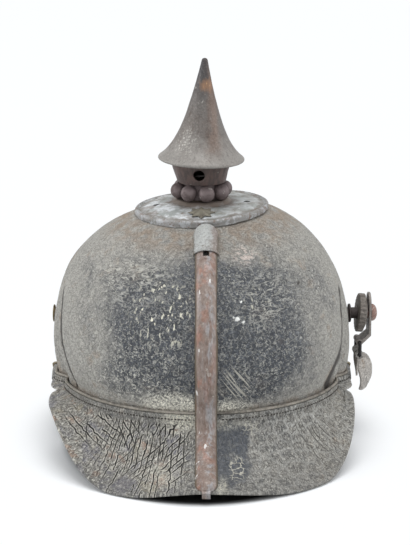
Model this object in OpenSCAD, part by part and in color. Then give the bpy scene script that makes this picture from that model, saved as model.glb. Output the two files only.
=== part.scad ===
// Spiked leather helmet: a pressed leather skull with front visor and neck guard,
// metal fittings, a screw-off spike on a pearl ring, and the remains of a chin strap.
// The front faces -Y, so +Y is the neck and -X is the wearer's right. Millimetres.

/* [Skull] */
// Widest width of the leather skull
skull_w = 186.8; // [170:0.2:215]
// From the spike's axis to the back of the skull
rear_reach = 94; // [85:1:108]
// From the spike's axis to the brow of the skull
front_reach = 119; // [108:1:138]
// Height of the sewn seam above the table
seam_z = 43.5; // [41:0.5:54]
// Height of the widest level above the seam
belt_h = 32; // [26:1:40]
// Height of the crown above the widest level
crown_h = 81.5; // [70:0.5:98]
// Thickness of the leather
leather_t = 2.8; // [2.2:0.1:3.4]
// How much narrower the seam is than the belt, at the sides and at the back
seam_pinch = 7; // [4:0.5:9]
// Depth of the dried-in fold behind each ear
fold_depth = 2.6; // [0:0.1:3.2]
// Angle of that fold from the back
fold_angle = 82; // [78:1:86]
// How far the side stands out in front of the fold
side_flare = 5; // [2:0.5:7]

/* [Neck guard] */
// Reach of the neck guard past the seam at the back
guard_out = 42; // [34:1:50]
// Thickness of the neck guard
guard_t = 2.6; // [2:0.1:3.2]
// Height of the arch in its edge, above the table
guard_arch = 5.5; // [3.5:0.5:8]

/* [Front visor] */
// Reach of the front visor past the seam
visor_out = 44; // [36:1:52]
// Thickness of the front visor
visor_t = 2.4; // [2:0.1:3]
// Depth of the metal edging on the visor
trim_depth = 6; // [4.5:0.5:8]
// Sheet thickness of the edging
trim_wall = 0.7; // [0.5:0.1:0.9]

/* [Seam] */
// Radius of the leather welt in the seam
welt_r = 0.95; // [0.7:0.05:1.1]

/* [Rear spine] */
// Width of the half-round spine
spine_w = 13.6; // [12:0.2:17]
// Height of the spine over the leather
spine_h = 4.4; // [3.6:0.2:5.4]
// How far the spine sits to the wearer's right of the middle
spine_side = 2.8; // [0:0.2:4]
// Sheet thickness of the spine
spine_wall = 0.9; // [0.7:0.1:1.1]

/* [Vent slide] */
// Length of the sliding vent cover
slide_len = 23; // [18:0.5:27]
// Sheet thickness of the cover
slide_wall = 0.6; // [0.5:0.1:1]
// Radius of the two vent holes in the leather under it
vent_r = 2.4; // [1.6:0.1:3]
// How far the cover slides down, along the spine
slide_travel = 16; // [12:0.5:17]
// Radius of the pin that holds the cover in its slot
slide_pin_r = 1.6; // [1.2:0.1:1.8]

/* [Spike base] */
// Radius of the round base plate
base_r = 42.2; // [38:0.2:50]
// Height of its rolled rim at the sides, where it stands lowest
rim_h = 3.5; // [3:0.2:5]
// Sheet thickness of the base plate
base_wall = 0.9; // [0.7:0.1:1.1]
// Radius at the foot of its central cone
cone_foot_r = 18.5; // [17.5:0.5:23]
// Height of the plate's middle above the foot of the rim
base_mid_h = 8.5; // [7:0.5:13]
// Radius of the circle of studs
stud_ring_r = 28.5; // [26.5:0.5:33]
// Radius of each stud hole
stud_hole_r = 2.1; // [1.8:0.1:2.4]

/* [Star studs] */
// Tip radius of a star
star_r = 8.8; // [7:0.2:10]
// Number of points on a star
star_points = 8; // [6:1:10]

/* [Pearl ring] */
// Number of beads
beads = 8; // [7:1:8]
// Radius of a bead
bead_r = 5.1; // [4.4:0.1:5.4]
// Angle of the first bead from the back
bead_turn = 12.5; // [0:0.5:22]

/* [Spike] */
// Height of the spike above its brim
spike_h = 63.6; // [54:0.2:78]
// Radius of the brim
brim_r = 27.2; // [24:0.2:32]
// Radius of the spike's round tip
tip_r = 1.9; // [1.4:0.1:2.4]
// Radius of the neck at its foot
neck_r = 15.4; // [14.6:0.1:16.8]
// Radius of the neck under the brim
neck_top_r = 19.3; // [17.5:0.1:22]
// Height of the neck
neck_h = 15; // [13:0.2:20]
// Radius of a vent hole in the neck
neck_vent_r = 3.5; // [2.5:0.1:4]
// Sheet thickness of the spike
spike_wall = 1; // [0.8:0.1:1.2]
// Radius of the hollow screw under the neck
screw_r = 8.4; // [7.2:0.1:8.6]
// Rise of the screw in one turn
screw_pitch = 2; // [1.5:0.25:2.5]
// Length of the screw inside its boss
screw_grip = 10; // [8:0.5:12]

/* [Side knob] */
// Height of the knob above the seam
knob_rise = 36; // [34:0.5:44]
// Angle of the knob from the back
knob_angle = 97; // [94:1:104]
// Radius of the knob's post
knob_post_r = 3.6; // [2.8:0.1:4]
// Radius of the knob's domed head
knob_head_r = 5.5; // [5:0.1:6.5]
// Radius of the rosette under the strap
rosette_r = 12.5; // [10.5:0.5:14]
// Thickness of the rosette
rosette_t = 5.2; // [4:0.2:6.2]

/* [Chin strap] */
// Width of the strap
strap_w = 15; // [12:0.5:18]
// Thickness of the strap leather
strap_t = 1.9; // [1.5:0.1:2.4]
// Length of the folded piece below the buckle
strap_drop = 22; // [18:1:25]

/* [Liner] */
// Height of the sweatband
band_h = 30; // [24:1:36]
// Thickness of the liner leather
liner_t = 1.3; // [1:0.1:1.6]
// Number of liner tongues
tongues = 10; // [8:1:12]

/* [Hidden] */
$fn = 48;

// Clearances: sewn layers, metal laid on leather, sliding sheet and turning parts
layer_gap = 0.15;
seat_gap = 0.25;
slide_gap = 0.3;
turn_gap = 0.06;
hole_gap = 0.12;

// Heights that follow from the driving sizes
belt_z = seam_z + belt_h;
skirt = 6;
rim_z = seam_z - skirt;
side_drop = 9;
side_z = seam_z - side_drop;
guard_end = 95;
visor_start = 96;

// Roundness of the crown: larger is squarer. The brow and the back slope more than the sides.
round_side = 2.2;
round_back = 2.05;
round_brow = 1.8;

// Azimuths run from the back (+Y) towards +X. Columns are closer together at the folds.
fold_half = 3.4;
side_columns = [for (k = [-2, -1, -0.5, 0, 0.5, 1, 2]) fold_angle + k * fold_half];
back_columns = [for (k = [0:10]) k * (fold_angle - 2 * fold_half - 5) / 10];
front_columns = [for (k = [0:13]) fold_angle + 2 * fold_half + 6 + k * (172 - fold_angle - 2 * fold_half - 6) / 13];
half_columns = concat(back_columns, side_columns, front_columns);
columns = concat(half_columns, [180], [for (i = [len(half_columns) - 1:-1:1]) -half_columns[i]]);

function clamp01(t) = min(1, max(0, t));
function smooth(t) = let (u = clamp01(t)) u * u * (3 - 2 * u);
function mix(a, b, t) = a + (b - a) * t;
function unit(v) = v / norm(v);
function bezier(p, t) = pow(1 - t, 3) * p[0] + 3 * t * pow(1 - t, 2) * p[1]
    + 3 * t * t * (1 - t) * p[2] + pow(t, 3) * p[3];
// Point number k of a plane path moved square to it, to its left
function side_step(path, k, t) = let (a = path[max(0, k - 1)], b = path[min(len(path) - 1, k + 1)],
    d = unit(b - a)) path[k] + t * [-d.y, d.x];
function offset_path(path, t) = [for (k = [0:len(path) - 1]) side_step(path, k, t)];
function path_length(path) = let (steps = [for (k = [1:len(path) - 1]) norm(path[k] - path[k - 1])])
    steps * [for (s = steps) 1];

// The skull's surface
function reach(a) = cos(a) > 0 ? rear_reach : front_reach;
function roundness(a) = mix(round_side, cos(a) > 0 ? round_back : round_brow, pow(cos(a), 2));
function fold(a, z) = fold_depth * exp(-pow((abs(a) - fold_angle) / fold_half, 2))
    * smooth((belt_z + 28 - z) / 20);
function flare(a, z) = side_flare * smooth((abs(a) - fold_angle) / 8) * smooth((150 - abs(a)) / 45)
    * pow(clamp01((belt_z + 22 - z) / (22 + belt_h)), 1.6);
// s runs from -1 at the seam through 0 at the belt to 1 at the crown. Inset moves the point inwards.
function skull_z(a, s, inset = 0) = s < 0 ? belt_z + s * belt_h
    : belt_z + (crown_h - inset) * pow(sin(90 * s), 2 / roundness(a));
function skull_pt(a, s, inset = 0) = let (
    z = skull_z(a, s, inset),
    c = s < 0 ? 1 : pow(max(0, cos(90 * s)), 2 / roundness(a)),
    push = flare(a, z) - fold(a, z) - (s < 0 ? seam_pinch * s * s : 0))
    [((skull_w / 2 - inset) * c + push) * sin(a), ((reach(a) - inset) * c + push) * cos(a), z];
function s_at(a, z) = z < belt_z ? (z - belt_z) / belt_h
    : asin(pow((z - belt_z) / crown_h, roundness(a) / 2)) / 90;
// Unit vector that points straight out from the seam, seen from above
function outward(a) = unit([sin(a) / skull_w * 2, cos(a) / reach(a), 0]);
// Slope of the surface there, as the angle by which its normal points upwards
function lean(a, s) = let (q = skull_pt(a, s + 0.02) - skull_pt(a, s - 0.02))
    atan2(-(q * outward(a)), q.z);
// Height of the crown at a distance r from the axis
function crown_at(a, r, inset = 0) = let (n = roundness(a),
    full = norm([(skull_w / 2 - inset) * sin(a), (reach(a) - inset) * cos(a)]))
    belt_z + (crown_h - inset) * pow(1 - pow(r / full, n), 1 / n);
// Puts children on the skull's surface with their +Z square to it and their +X downwards
module at_skin(a, z) {
    o = outward(a);
    translate(skull_pt(a, s_at(a, z))) rotate([0, 0, atan2(o.y, o.x)])
        rotate([0, 90 - lean(a, s_at(a, z)), 0]) children();
}
// The same, but level: for the side fittings, whose posts are horizontal
module at_side(a) {
    o = outward(a);
    translate(skull_pt(a, s_at(a, knob_z))) rotate([0, 0, atan2(o.y, o.x)]) rotate([0, 90, 0]) children();
}

// Turns a list of equal loops into a solid. Each loop lists one side, then the other side back.
module sweep(loops, closed = false) {
    n = len(loops[0]);
    m = len(loops);
    skin = [for (j = [0:m - (closed ? 1 : 2)], i = [0:n - 1])
        let (j2 = (j + 1) % m, i2 = (i + 1) % n, p = j * n + i, q = j * n + i2,
            r = j2 * n + i2, s = j2 * n + i)
        each [[p, q, r], [p, r, s]]];
    start_cap = [for (i = [0:n / 2 - 2]) each [[n - 1 - i, i + 1, i], [n - 1 - i, n - 2 - i, i + 1]]];
    end_cap = [for (f = start_cap) [for (k = [2, 1, 0]) f[k] + (m - 1) * n]];
    polyhedron([for (l = loops) each l], closed ? skin : concat(skin, start_cap, end_cap), 4);
}

// Places of the fittings
base_z = max([for (a = [0:30:180]) crown_at(a, base_r)]) + seat_gap;
mid_z = base_z + base_mid_h;
ring_z = mid_z + seat_gap;
ring_h = 2 * bead_r;
neck_z = ring_z + ring_h + seat_gap;
brim_z = neck_z + neck_h;
boss_r = screw_r + 2.2;
knob_z = seam_z + knob_rise;
pearl_in_r = screw_r + turn_gap;
bead_ring_r = neck_r - 0.7;
collar_r = bead_ring_r - 0.62 * bead_r;

// Skull: a pressed shell, open at the crown under the base plate
crown_hole_r = 22;
rise_steps = [for (k = [-4:-1]) k / 4];
crown_steps = [0.09, 0.18, 0.28, 0.38, 0.48, 0.58, 0.67, 0.75];
function crown_ring(inset) = [for (a = columns) let (p = skull_pt(a, 0.75, inset),
    c = crown_hole_r / norm([p.x, p.y])) [p.x * c, p.y * c, crown_at(a, crown_hole_r, inset)]];
function ring_at(s, inset) = [for (a = columns) skull_pt(a, s, inset)];
function skirt_ring(inset) = [for (a = columns) let (p = skull_pt(a, -1, inset)) [p.x, p.y, rim_z]];
module skull_shell() {
    heights = concat(rise_steps, [0], crown_steps);
    outside = [for (s = heights) ring_at(s, 0)];
    inside = [for (i = [len(heights) - 1:-1:0]) ring_at(heights[i], leather_t)];
    sweep(concat([skirt_ring(0)], outside, [crown_ring(0)], [crown_ring(leather_t)], inside,
        [skirt_ring(leather_t)]), closed = true);
}
module skull() color([0.27, 0.25, 0.24]) difference() {
    skull_shell();
    for (i = [0:3]) rotate(90 * i) translate([0, stud_ring_r, base_z - 12]) cylinder(r = stud_hole_r, h = 20);
    for (u = slide_holes) at_arc(u) cylinder(r = vent_r, h = 16, center = true);
    at_side(-knob_angle) cylinder(r = knob_post_r + hole_gap, h = 20, center = true);
    at_side(knob_angle) cylinder(r = bush_r + hole_gap, h = 20, center = true);
    for (a = eyelet_angles) at_skin(a, eyelet_z) cylinder(r = eyelet_r + hole_gap, h = 20, center = true);
}

// A peak: a band sewn round the skull's skirt that turns out and down to its edge
profile_steps = 8;
function peak_lip(out, edge_z) = min(trim_depth + 1.2, 0.45 * norm([out, rim_z - edge_z]));
function peak_under(out, edge_z) = let (turn = rim_z + 1,
    knee = [layer_gap + 0.5 * out, mix(turn, edge_z, 0.72)],
    edge = [layer_gap + out, edge_z],
    last = edge - peak_lip(out, edge_z) * unit(edge - knee),
    path = [[layer_gap, turn], [layer_gap + 0.06 * out, mix(turn, edge_z, 0.4)],
        mix(knee, last, 0.15), last])
    concat([[layer_gap, seam_z]], [for (k = [0:profile_steps]) bezier(path, k / profile_steps)], [edge]);
function place(a, rz) = let (p = skull_pt(a, -1), o = outward(a)) [p.x + rz.x * o.x, p.y + rz.x * o.y, rz.y];
function peak_loop(a, under, t) = let (over = offset_path(under, t))
    concat([for (p = over) place(a, p)], [for (k = [len(under) - 1:-1:0]) place(a, under[k])]);

// Neck guard. It has dried crooked: it stays full further round on the wearer's right.
function corner_from(a) = a > 0 ? 26 : 39;
function corner_to(a) = a > 0 ? 63 : 79;
function arch_to(a) = a > 0 ? 23 : 32;
function guard_edge_z(a) = guard_arch * (1 - smooth(abs(a) / arch_to(a)))
    + side_z * smooth((abs(a) - corner_from(a)) / (corner_to(a) - corner_from(a)));
function guard_reach(a) = 4 + (guard_out - 4) * pow(max(0, cos(a)), 1.1);
function guard_under(a) = peak_under(guard_reach(a), guard_edge_z(a));
guard_half = [for (a = half_columns) if (a < guard_end - 0.5) a];
guard_columns = concat([-guard_end], [for (i = [len(guard_half) - 1:-1:1]) -guard_half[i]], guard_half, [guard_end]);
module neck_guard() color([0.33, 0.3, 0.27])
    sweep([for (a = guard_columns) peak_loop(a, guard_under(a), guard_t)]);

// Front visor, lifted by what its metal edging takes below it
trim_gap = 0.25;
visor_lift = 1.4 * (trim_gap + trim_wall);
function signed(a) = a > 180 ? a - 360 : a;
function visor_edge_z(a) = visor_lift + (side_z - visor_lift) * smooth((150 - abs(a)) / 42);
function visor_reach(a) = 4 + (visor_out - 4) * pow(max(0, -cos(a)), 1.6);
function visor_under(a) = peak_under(visor_reach(a), visor_edge_z(a));
visor_half = [for (a = half_columns) if (a > visor_start + 0.5) a];
visor_columns = concat([visor_start], visor_half, [180],
    [for (i = [len(visor_half) - 1:-1:0]) 360 - visor_half[i]], [360 - visor_start]);
module front_visor() color([0.22, 0.21, 0.2])
    sweep([for (a = visor_columns) peak_loop(signed(a), visor_under(signed(a)), visor_t)]);

// Metal edging folded over the visor's edge
trim_from = 110;
function trim_loop(a) = let (
    u = visor_under(a),
    e = u[len(u) - 1],
    d = unit(e - u[len(u) - 2]),
    n = [-d.y, d.x],
    back = -min(trim_depth, 0.8 * peak_lip(visor_reach(a), visor_edge_z(a))),
    g = trim_gap,
    w = trim_gap + trim_wall)
    [for (q = [[back, visor_t + w], [w, visor_t + w], [w, -w], [back, -w],
        [back, -g], [g, -g], [g, visor_t + g], [back, visor_t + g]])
        place(a, e + q.x * d + q.y * n)];
module visor_trim() color([0.62, 0.53, 0.38])
    sweep([for (a = visor_columns) if (a > trim_from && a < 360 - trim_from) trim_loop(signed(a))]);

// Leather welts that lie on top of the peaks, against the skull
welt_sides = 6;
function welt_loop(a) = let (
    p = skull_pt(a, -1 + (2 * welt_r + layer_gap) / belt_h),
    o = outward(a))
    [for (i = [0:welt_sides - 1]) let (t = -360 * i / welt_sides)
        [p.x, p.y, seam_z + layer_gap + welt_r] + (layer_gap + welt_r * (1 + cos(t))) * o + [0, 0, welt_r * sin(t)]];
module rear_welt() color([0.4, 0.36, 0.31]) sweep([for (a = guard_columns) welt_loop(a)]);
module front_welt() color([0.3, 0.27, 0.24]) sweep([for (a = visor_columns) welt_loop(signed(a))]);

// The spine's upper part is a true arc through three points of the skull's back, so the cover can slide
arc_p = [for (r = [base_r + 1, base_r + 22, base_r + 40]) [r, crown_at(0, r)]];
function centre_of(p) = let (
    a = p[1] - p[0], b = p[2] - p[0], k = 2 * (a.x * b.y - a.y * b.x))
    p[0] + [b.y * (a * a) - a.y * (b * b), a.x * (b * b) - b.x * (a * a)] / k;
arc_c = centre_of(arc_p);
arc_r = norm(arc_p[0] - arc_c) + 2 * seat_gap;
arc_start = asin((base_r + 0.7 - arc_c.x) / arc_r);
function arc_angle(u) = arc_start + u / arc_r * 180 / PI;
function arc_pt(u) = arc_c + arc_r * [sin(arc_angle(u)), cos(arc_angle(u))];
// Children stand on the arc at a distance u along it, +Z outwards
module at_arc(u) translate([-spine_side, arc_pt(u).x, arc_pt(u).y]) rotate([-arc_angle(u), 0, 0]) children();
// Children are a half section: +X is the radius, +Y is across the spine
module along_arc(from, to) translate([-spine_side, arc_c.x, arc_c.y]) rotate([0, -90, 0])
    rotate([0, 0, arc_angle(from)]) rotate_extrude(angle = arc_angle(to) - arc_angle(from)) children();

slide_from = 0.6;
arc_len = slide_from + slide_len + slide_travel + 2;
slot_from = slide_from + 6.4;
slide_pin_u = slot_from + slide_pin_r + 0.3;
slot_to = slide_pin_u + slide_travel + slide_pin_r + 0.3;
slide_holes = [slot_from + 4, slot_from + 12];
end_u = 3;

arc_steps = concat([0, 0.7, 1.8, 3.4], [for (k = [0:9]) mix(5.4, arc_len, k / 9)]);
arc_path = [for (u = arc_steps) arc_pt(u)];
arc_s = s_at(0, arc_pt(arc_len).y);
back_path = offset_path([for (k = [1:10]) let (p = skull_pt(0, mix(arc_s, -0.82, k / 10))) [p.y, p.z]], 2 * seat_gap);
seam_out = layer_gap + guard_t + 2 * seat_gap;
spine_a = -asin(spine_side / (skull_w / 2 - seam_pinch));
seam_y = skull_pt(spine_a, -1).y;
seam_path = [[seam_y + seam_out + 0.2, seam_z + 2], [seam_y + seam_out, seam_z - 2]];
guard_path = [for (k = [2:profile_steps + 2])
    side_step(offset_path(guard_under(spine_a), guard_t), k, seat_gap) + [seam_y, 0]];
spine_path = concat(arc_path, back_path, seam_path, guard_path);

function arch(w, h, n) = [for (i = [0:n]) [w * cos(180 * i / n), h * sin(180 * i / n)]];
// Both ends are rounded off
function spine_scale(k) = k < 4 ? [0.5, 0.7, 0.86, 0.96][k]
    : k >= len(spine_path) - 1 ? 0.45 : k == len(spine_path) - 2 ? 0.86 : 1;
function spine_loop(k) = let (
    a = spine_path[max(0, k - 1)], b = spine_path[min(len(spine_path) - 1, k + 1)],
    d = unit(b - a), n = [-d.y, d.x], p = spine_path[k], s = spine_scale(k),
    hollow = k == 0 || k >= len(spine_path) - 1 ? 0.06 : 1,
    outer = arch(spine_w / 2 * s, spine_h * s, 8),
    inner = arch(hollow * (spine_w / 2 * s - spine_wall), hollow * (spine_h * s - spine_wall), 8))
    [for (q = concat(outer, [for (i = [8:-1:0]) inner[i]])) [q.x - spine_side, p.x + q.y * n.x, p.y + q.y * n.y]];
module spine_prong() {
    e = spine_path[len(spine_path) - 1];
    d = unit(e - spine_path[len(spine_path) - 2]);
    n = [-d.y, d.x];
    low = -guard_t - 3 * seat_gap;
    line = [for (q = [[-0.6, 0.3], [1.2, 0.3], [1.4, low], [-8, low]]) e + q.x * d + q.y * n];
    half = 0.19 * spine_w;
    t = 0.8;
    translate([-spine_side, 0, 0]) sweep([for (k = [0:3]) let (c = [for (s = [0, t]) side_step(line, k, s)])
        [[half, c[1].x, c[1].y], [-half, c[1].x, c[1].y], [-half, c[0].x, c[0].y], [half, c[0].x, c[0].y]]]);
}
module rear_spine() color([0.46, 0.34, 0.26]) difference() {
    union() {
        sweep([for (k = [0:len(spine_path) - 1]) spine_loop(k)]);
        spine_prong();
    }
    along_arc(slot_from, slot_to) translate([arc_r + 1, -slide_pin_r - 0.35])
        square([spine_h + 1, 2 * slide_pin_r + 0.7]);
}

// Vent cover: an arched sheet that slides on the spine, held by a headed pin in its slot
module cover_section(extra) {
    w = spine_w / 2 + slide_gap;
    h = spine_h + slide_gap;
    polygon([for (q = concat(arch(w + slide_wall + extra, h + slide_wall + extra, 16),
        [for (i = [16:-1:0]) arch(w, h, 16)[i]])) [arc_r + q.y, q.x]]);
}
module vent_slide() color([0.62, 0.62, 0.6]) {
    w = spine_w / 2 + slide_gap + slide_wall;
    round_r = w + 0.7;
    intersection() {
        along_arc(slide_from, slide_from + slide_len) cover_section(0);
        union() {
            at_arc(slide_from + round_r) cylinder(r = round_r, h = 40, center = true);
            at_arc(slide_from + round_r) translate([-w - 1, 0, -20]) cube([2 * w + 2, 2 * slide_len, 40]);
        }
    }
    along_arc(slide_from + slide_len - 1.6, slide_from + slide_len) cover_section(0.5);
    at_arc(slide_pin_u) translate([0, 0, spine_h - spine_wall - slide_gap - 1.3]) {
        cylinder(r = slide_pin_r, h = spine_wall + 2 * slide_gap + 1.7);
        cylinder(r = slide_pin_r + 1.3, h = 0.8);
    }
}

// Spike base: a dished plate over the crown, with a rolled rim whose skirt reaches down to the leather all round
plate_lift = 0.6;
dish_r = base_r - 3.4;
function plate_z(r) = max([for (a = [0, 60, 90, 120, 180]) crown_at(a, r)]) + seat_gap
    + plate_lift * smooth((r - cone_foot_r) / (dish_r - cone_foot_r));
function dish(n) = [for (i = [0:n]) let (r = mix(dish_r, cone_foot_r, i / n)) [r, plate_z(r)]];
seat_r = bead_ring_r + 1.6;
rim_top = base_z + rim_h;
rim_r = 1.4;
module base_sheet() rotate_extrude($fn = 96) {
    under = concat([[base_r - base_wall, rim_top - 2.6], [dish_r + 0.6, plate_z(dish_r)]], dish(6),
        [[seat_r, mid_z - base_wall], [boss_r + hole_gap, mid_z - base_wall]]);
    over = concat([[boss_r + hole_gap, mid_z], [seat_r - 0.3, mid_z]],
        [for (p = [for (i = [6:-1:0]) dish(6)[i]]) p + [0, base_wall]]);
    roll = [for (t = [150:-30:0]) [base_r - rim_r + rim_r * cos(t), rim_top - rim_r + rim_r * sin(t)]];
    polygon(concat(under, over, [[base_r - 2.8, rim_top - 1.3]], roll, [[base_r, rim_top - 2.6]]));
}
// The skirt's lower edge follows the crown. It is drawn a little thinner than the rim above it.
skirt_in = 0.15;
module base_skirt() {
    n = 72;
    r1 = base_r - skirt_in;
    r2 = base_r - base_wall + skirt_in;
    sweep([for (i = [0:n - 1]) let (t = 360 * i / n, d = [sin(t), cos(t)],
        a = atan2(2 * d.x / skull_w, d.y / reach(t)), foot = crown_at(a, base_r) + seat_gap)
        [for (q = [[r1, foot], [r2, foot], [r2, rim_top - 2], [r1, rim_top - 2]])
            [q.x * d.x, q.x * d.y, q.y]]], closed = true);
}
module spike_base() color([0.6, 0.59, 0.57]) difference() {
    union() {
        base_sheet();
        base_skirt();
    }
    for (i = [0:3]) rotate(90 * i) translate([0, stud_ring_r, base_z - 5]) cylinder(r = stud_hole_r, h = 20);
}

// Threaded boss soldered under the middle of the plate
module spike_boss() color([0.66, 0.53, 0.32]) translate([0, 0, mid_z]) rotate_extrude()
    polygon([[screw_r + turn_gap, 0], [boss_r, 0], [boss_r, -base_wall], [boss_r + 3, -base_wall],
        [boss_r + 3, -base_wall - 1.2], [boss_r, -base_wall - 1.2], [boss_r, -screw_grip - 1],
        [screw_r + turn_gap, -screw_grip - 1]]);

// Pearl ring: beads round a plain collar
module pearl_ring() color([0.42, 0.33, 0.36]) translate([0, 0, ring_z]) {
    rotate_extrude() polygon([[pearl_in_r, 0], [collar_r, 0], [collar_r, ring_h], [pearl_in_r, ring_h]]);
    for (i = [0:beads - 1]) rotate(bead_turn + 360 / beads * i + 90)
        translate([bead_ring_r, 0, bead_r]) sphere(r = bead_r);
}

// Spike: a spun shell with brim, vented neck and hollow screw, made as one revolve
cone_curve = [[brim_r - 0.4, 0.7], [0.575 * brim_r, 0.125 * spike_h], [0.3 * brim_r, 0.515 * spike_h],
    [tip_r, spike_h - tip_r]];
module spike_shell() translate([0, 0, brim_z]) rotate_extrude($fn = 72) {
    n = 14;
    cone = [for (i = [0:n]) bezier(cone_curve, i / n)];
    cap = [for (t = [20:20:80]) [tip_r * cos(t), spike_h - tip_r + tip_r * sin(t)]];
    edge = [for (t = [-120:30:30]) [brim_r - 1.1 + 1.1 * cos(t), -0.3 + 1.1 * sin(t)]];
    inner = [for (i = [10:-1:0]) bezier(cone_curve, i / n) - [spike_wall, 0]];
    polygon(concat(
        [[screw_r - 1.4, -neck_h + spike_wall], [screw_r - 1.4, -neck_h - seat_gap * 2 - ring_h - screw_grip],
            [screw_r, -neck_h - seat_gap * 2 - ring_h - screw_grip], [screw_r, -neck_h], [neck_r, -neck_h],
            [neck_r + 0.2, -neck_h + 1.2], [neck_top_r - 0.3, -2.4], [neck_top_r + 0.8, -0.9]],
        edge, cone, cap, [[0, spike_h], [0, inner[0].y + 2]], inner,
        [[neck_top_r - 0.3 - spike_wall, -1.6], [neck_r - spike_wall, -neck_h + 2.2],
            [neck_r - spike_wall - 0.4, -neck_h + spike_wall]]));
}
module spike() color([0.46, 0.38, 0.33]) difference() {
    spike_shell();
    translate([0, 0, brim_z - 0.53 * neck_h]) rotate([90, 0, -4])
        cylinder(r = neck_vent_r, h = 60, center = true);
}

// Star studs: a faceted star on a split stem whose two legs are spread inside the skull
stud_slope = atan2(plate_z(stud_ring_r - 4) - plate_z(stud_ring_r + 4), 8);
stud_z = plate_z(stud_ring_r) + base_wall;
module star_cap() {
    n = 2 * star_points;
    ring = [for (i = [0:n - 1]) let (r = i % 2 == 0 ? star_r : 0.62 * star_r, t = 180 * i / star_points)
        [r * cos(t), r * sin(t)]];
    foot = [for (p = ring) [p.x, p.y, 0]];
    rise = [for (i = [0:n - 1]) [ring[i].x, ring[i].y, 0.5]];
    faces = concat([for (i = [0:n - 1]) each [[i, (i + 1) % n, n + (i + 1) % n], [i, n + (i + 1) % n, n + i]]],
        [for (i = [0:n - 1]) [n + i, n + (i + 1) % n, 2 * n]], [for (i = [1:n - 2]) [0, i + 1, i]]);
    polyhedron(concat(foot, rise, [[0, 0, star_h]]), [for (f = faces) [f[2], f[1], f[0]]]);
}
star_h = 2.6;
stem_r = stud_hole_r - hole_gap;
stud_washer_t = 0.7;
function inside_z(a) = crown_at(a, stud_ring_r, leather_t);
function inside_slope(a) = atan2(crown_at(a, stud_ring_r - 4, leather_t) - crown_at(a, stud_ring_r + 4, leather_t), 8);
washer_z = -2 * seat_gap - stud_washer_t;
module star_stud(a) translate([0, stud_ring_r, 0]) {
    z = inside_z(a);
    translate([0, 0, stud_z + seat_gap]) rotate([-stud_slope, 0, 0]) star_cap();
    translate([0, 0, z + washer_z - 1]) cylinder(r = stem_r, h = stud_z - z - washer_z + 1 + seat_gap + star_h / 2);
    translate([0, 0, z]) rotate([-inside_slope(a), 0, 0]) {
        for (m = [0, 1]) mirror([m, 0, 0]) translate([0.4, -1.2, washer_z - 1.5]) rotate([0, 8, 0]) cube([8.5, 2.4, 0.7]);
        translate([-1.4, -1.2, washer_z - 2]) cube([2.8, 2.4, 1.8]);
    }
}
module star_stud_rear() color([0.5, 0.48, 0.46]) star_stud(0);
module star_stud_front() color([0.5, 0.48, 0.46]) rotate(180) star_stud(180);
module stud_washers() color([0.55, 0.5, 0.4]) for (a = [0, 180])
    rotate(a) translate([0, stud_ring_r, inside_z(a)]) difference() {
        rotate([-inside_slope(a), 0, 0]) translate([0, 0, washer_z]) cylinder(r = 5.5, h = stud_washer_t);
        translate([0, 0, -5]) cylinder(r = stem_r + hole_gap, h = 10);
    }

// Side knob: collar, post and domed head, riveted through the leather over a washer
collar_out = 0.9;
collar_t = 1.2;
post_bare = 3.2;
rosette_lean = 6;
rosette_mid = collar_out + collar_t + post_bare + rosette_t / 2 + rosette_r * sin(rosette_lean);
lug_t = 1.6;
lug_out = rosette_mid + rosette_t / 2 + rosette_r * sin(rosette_lean) + 0.3;
head_out = lug_out + lug_t + 0.3;
head_h = 4.2;
washer_t = 0.8;
washer_r = knob_post_r + hole_gap + 3.4;
// The washer lies clear of the deepest part of the curved leather that it covers
function side_depth(a, turn, rise) = (skull_pt(a, s_at(a, knob_z))
    - skull_pt(a + turn, s_at(a + turn, knob_z + rise), leather_t)) * outward(a);
washer_in = washer_t + 2 * layer_gap
    + max([for (i = [-1:1], j = [-1:1]) side_depth(-knob_angle, i * washer_r / skull_w * 360 / PI, j * washer_r)]);
module side_knob() color([0.52, 0.34, 0.27]) at_side(-knob_angle) rotate_extrude() {
    dome = [for (t = [0:15:75]) [knob_head_r * cos(t), head_out + 1 + (head_h - 1) * sin(t)]];
    polygon(concat([[0, -washer_in - 1.4], [7, -washer_in - 1.4], [7, -washer_in - 0.2],
        [knob_post_r, -washer_in - 0.2], [knob_post_r, collar_out], [knob_post_r + 2.4, collar_out],
        [knob_post_r + 2.4, collar_out + collar_t], [knob_post_r, collar_out + collar_t],
        [knob_post_r, head_out], [knob_head_r, head_out]], dome, [[0, head_out + head_h]]));
}
module knob_washer() color([0.35, 0.25, 0.2]) at_side(-knob_angle) translate([0, 0, -washer_in])
    rotate_extrude() translate([knob_post_r + hole_gap, 0]) square([washer_r - knob_post_r - hole_gap, washer_t]);

// Rosette: a fluted disc with a loose hole, so it leans on the post
flutes = 28;
rosette_hole = knob_post_r / cos(rosette_lean) + rosette_t / 2 * tan(rosette_lean) + turn_gap;
module rosette() color([0.5, 0.45, 0.42]) at_side(-knob_angle) translate([0, 0, rosette_mid])
    rotate([0, rosette_lean, 0]) difference() {
        union() {
            translate([0, 0, -rosette_t / 2]) linear_extrude(rosette_t - 1.2)
                polygon([for (i = [0:2 * flutes - 1]) let (t = 180 * i / flutes)
                    (rosette_r - (i % 2) * 0.7) * [cos(t), sin(t)]]);
            translate([0, 0, rosette_t / 2 - 1.3]) cylinder(r1 = rosette_r - 1.2, r2 = rosette_r - 3.2, h = 1.3);
            translate([0, 0, -rosette_t / 2]) cylinder(r = rosette_hole + 2, h = rosette_t);
        }
        cylinder(r = rosette_hole, h = 2 * rosette_t, center = true);
    }

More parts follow.
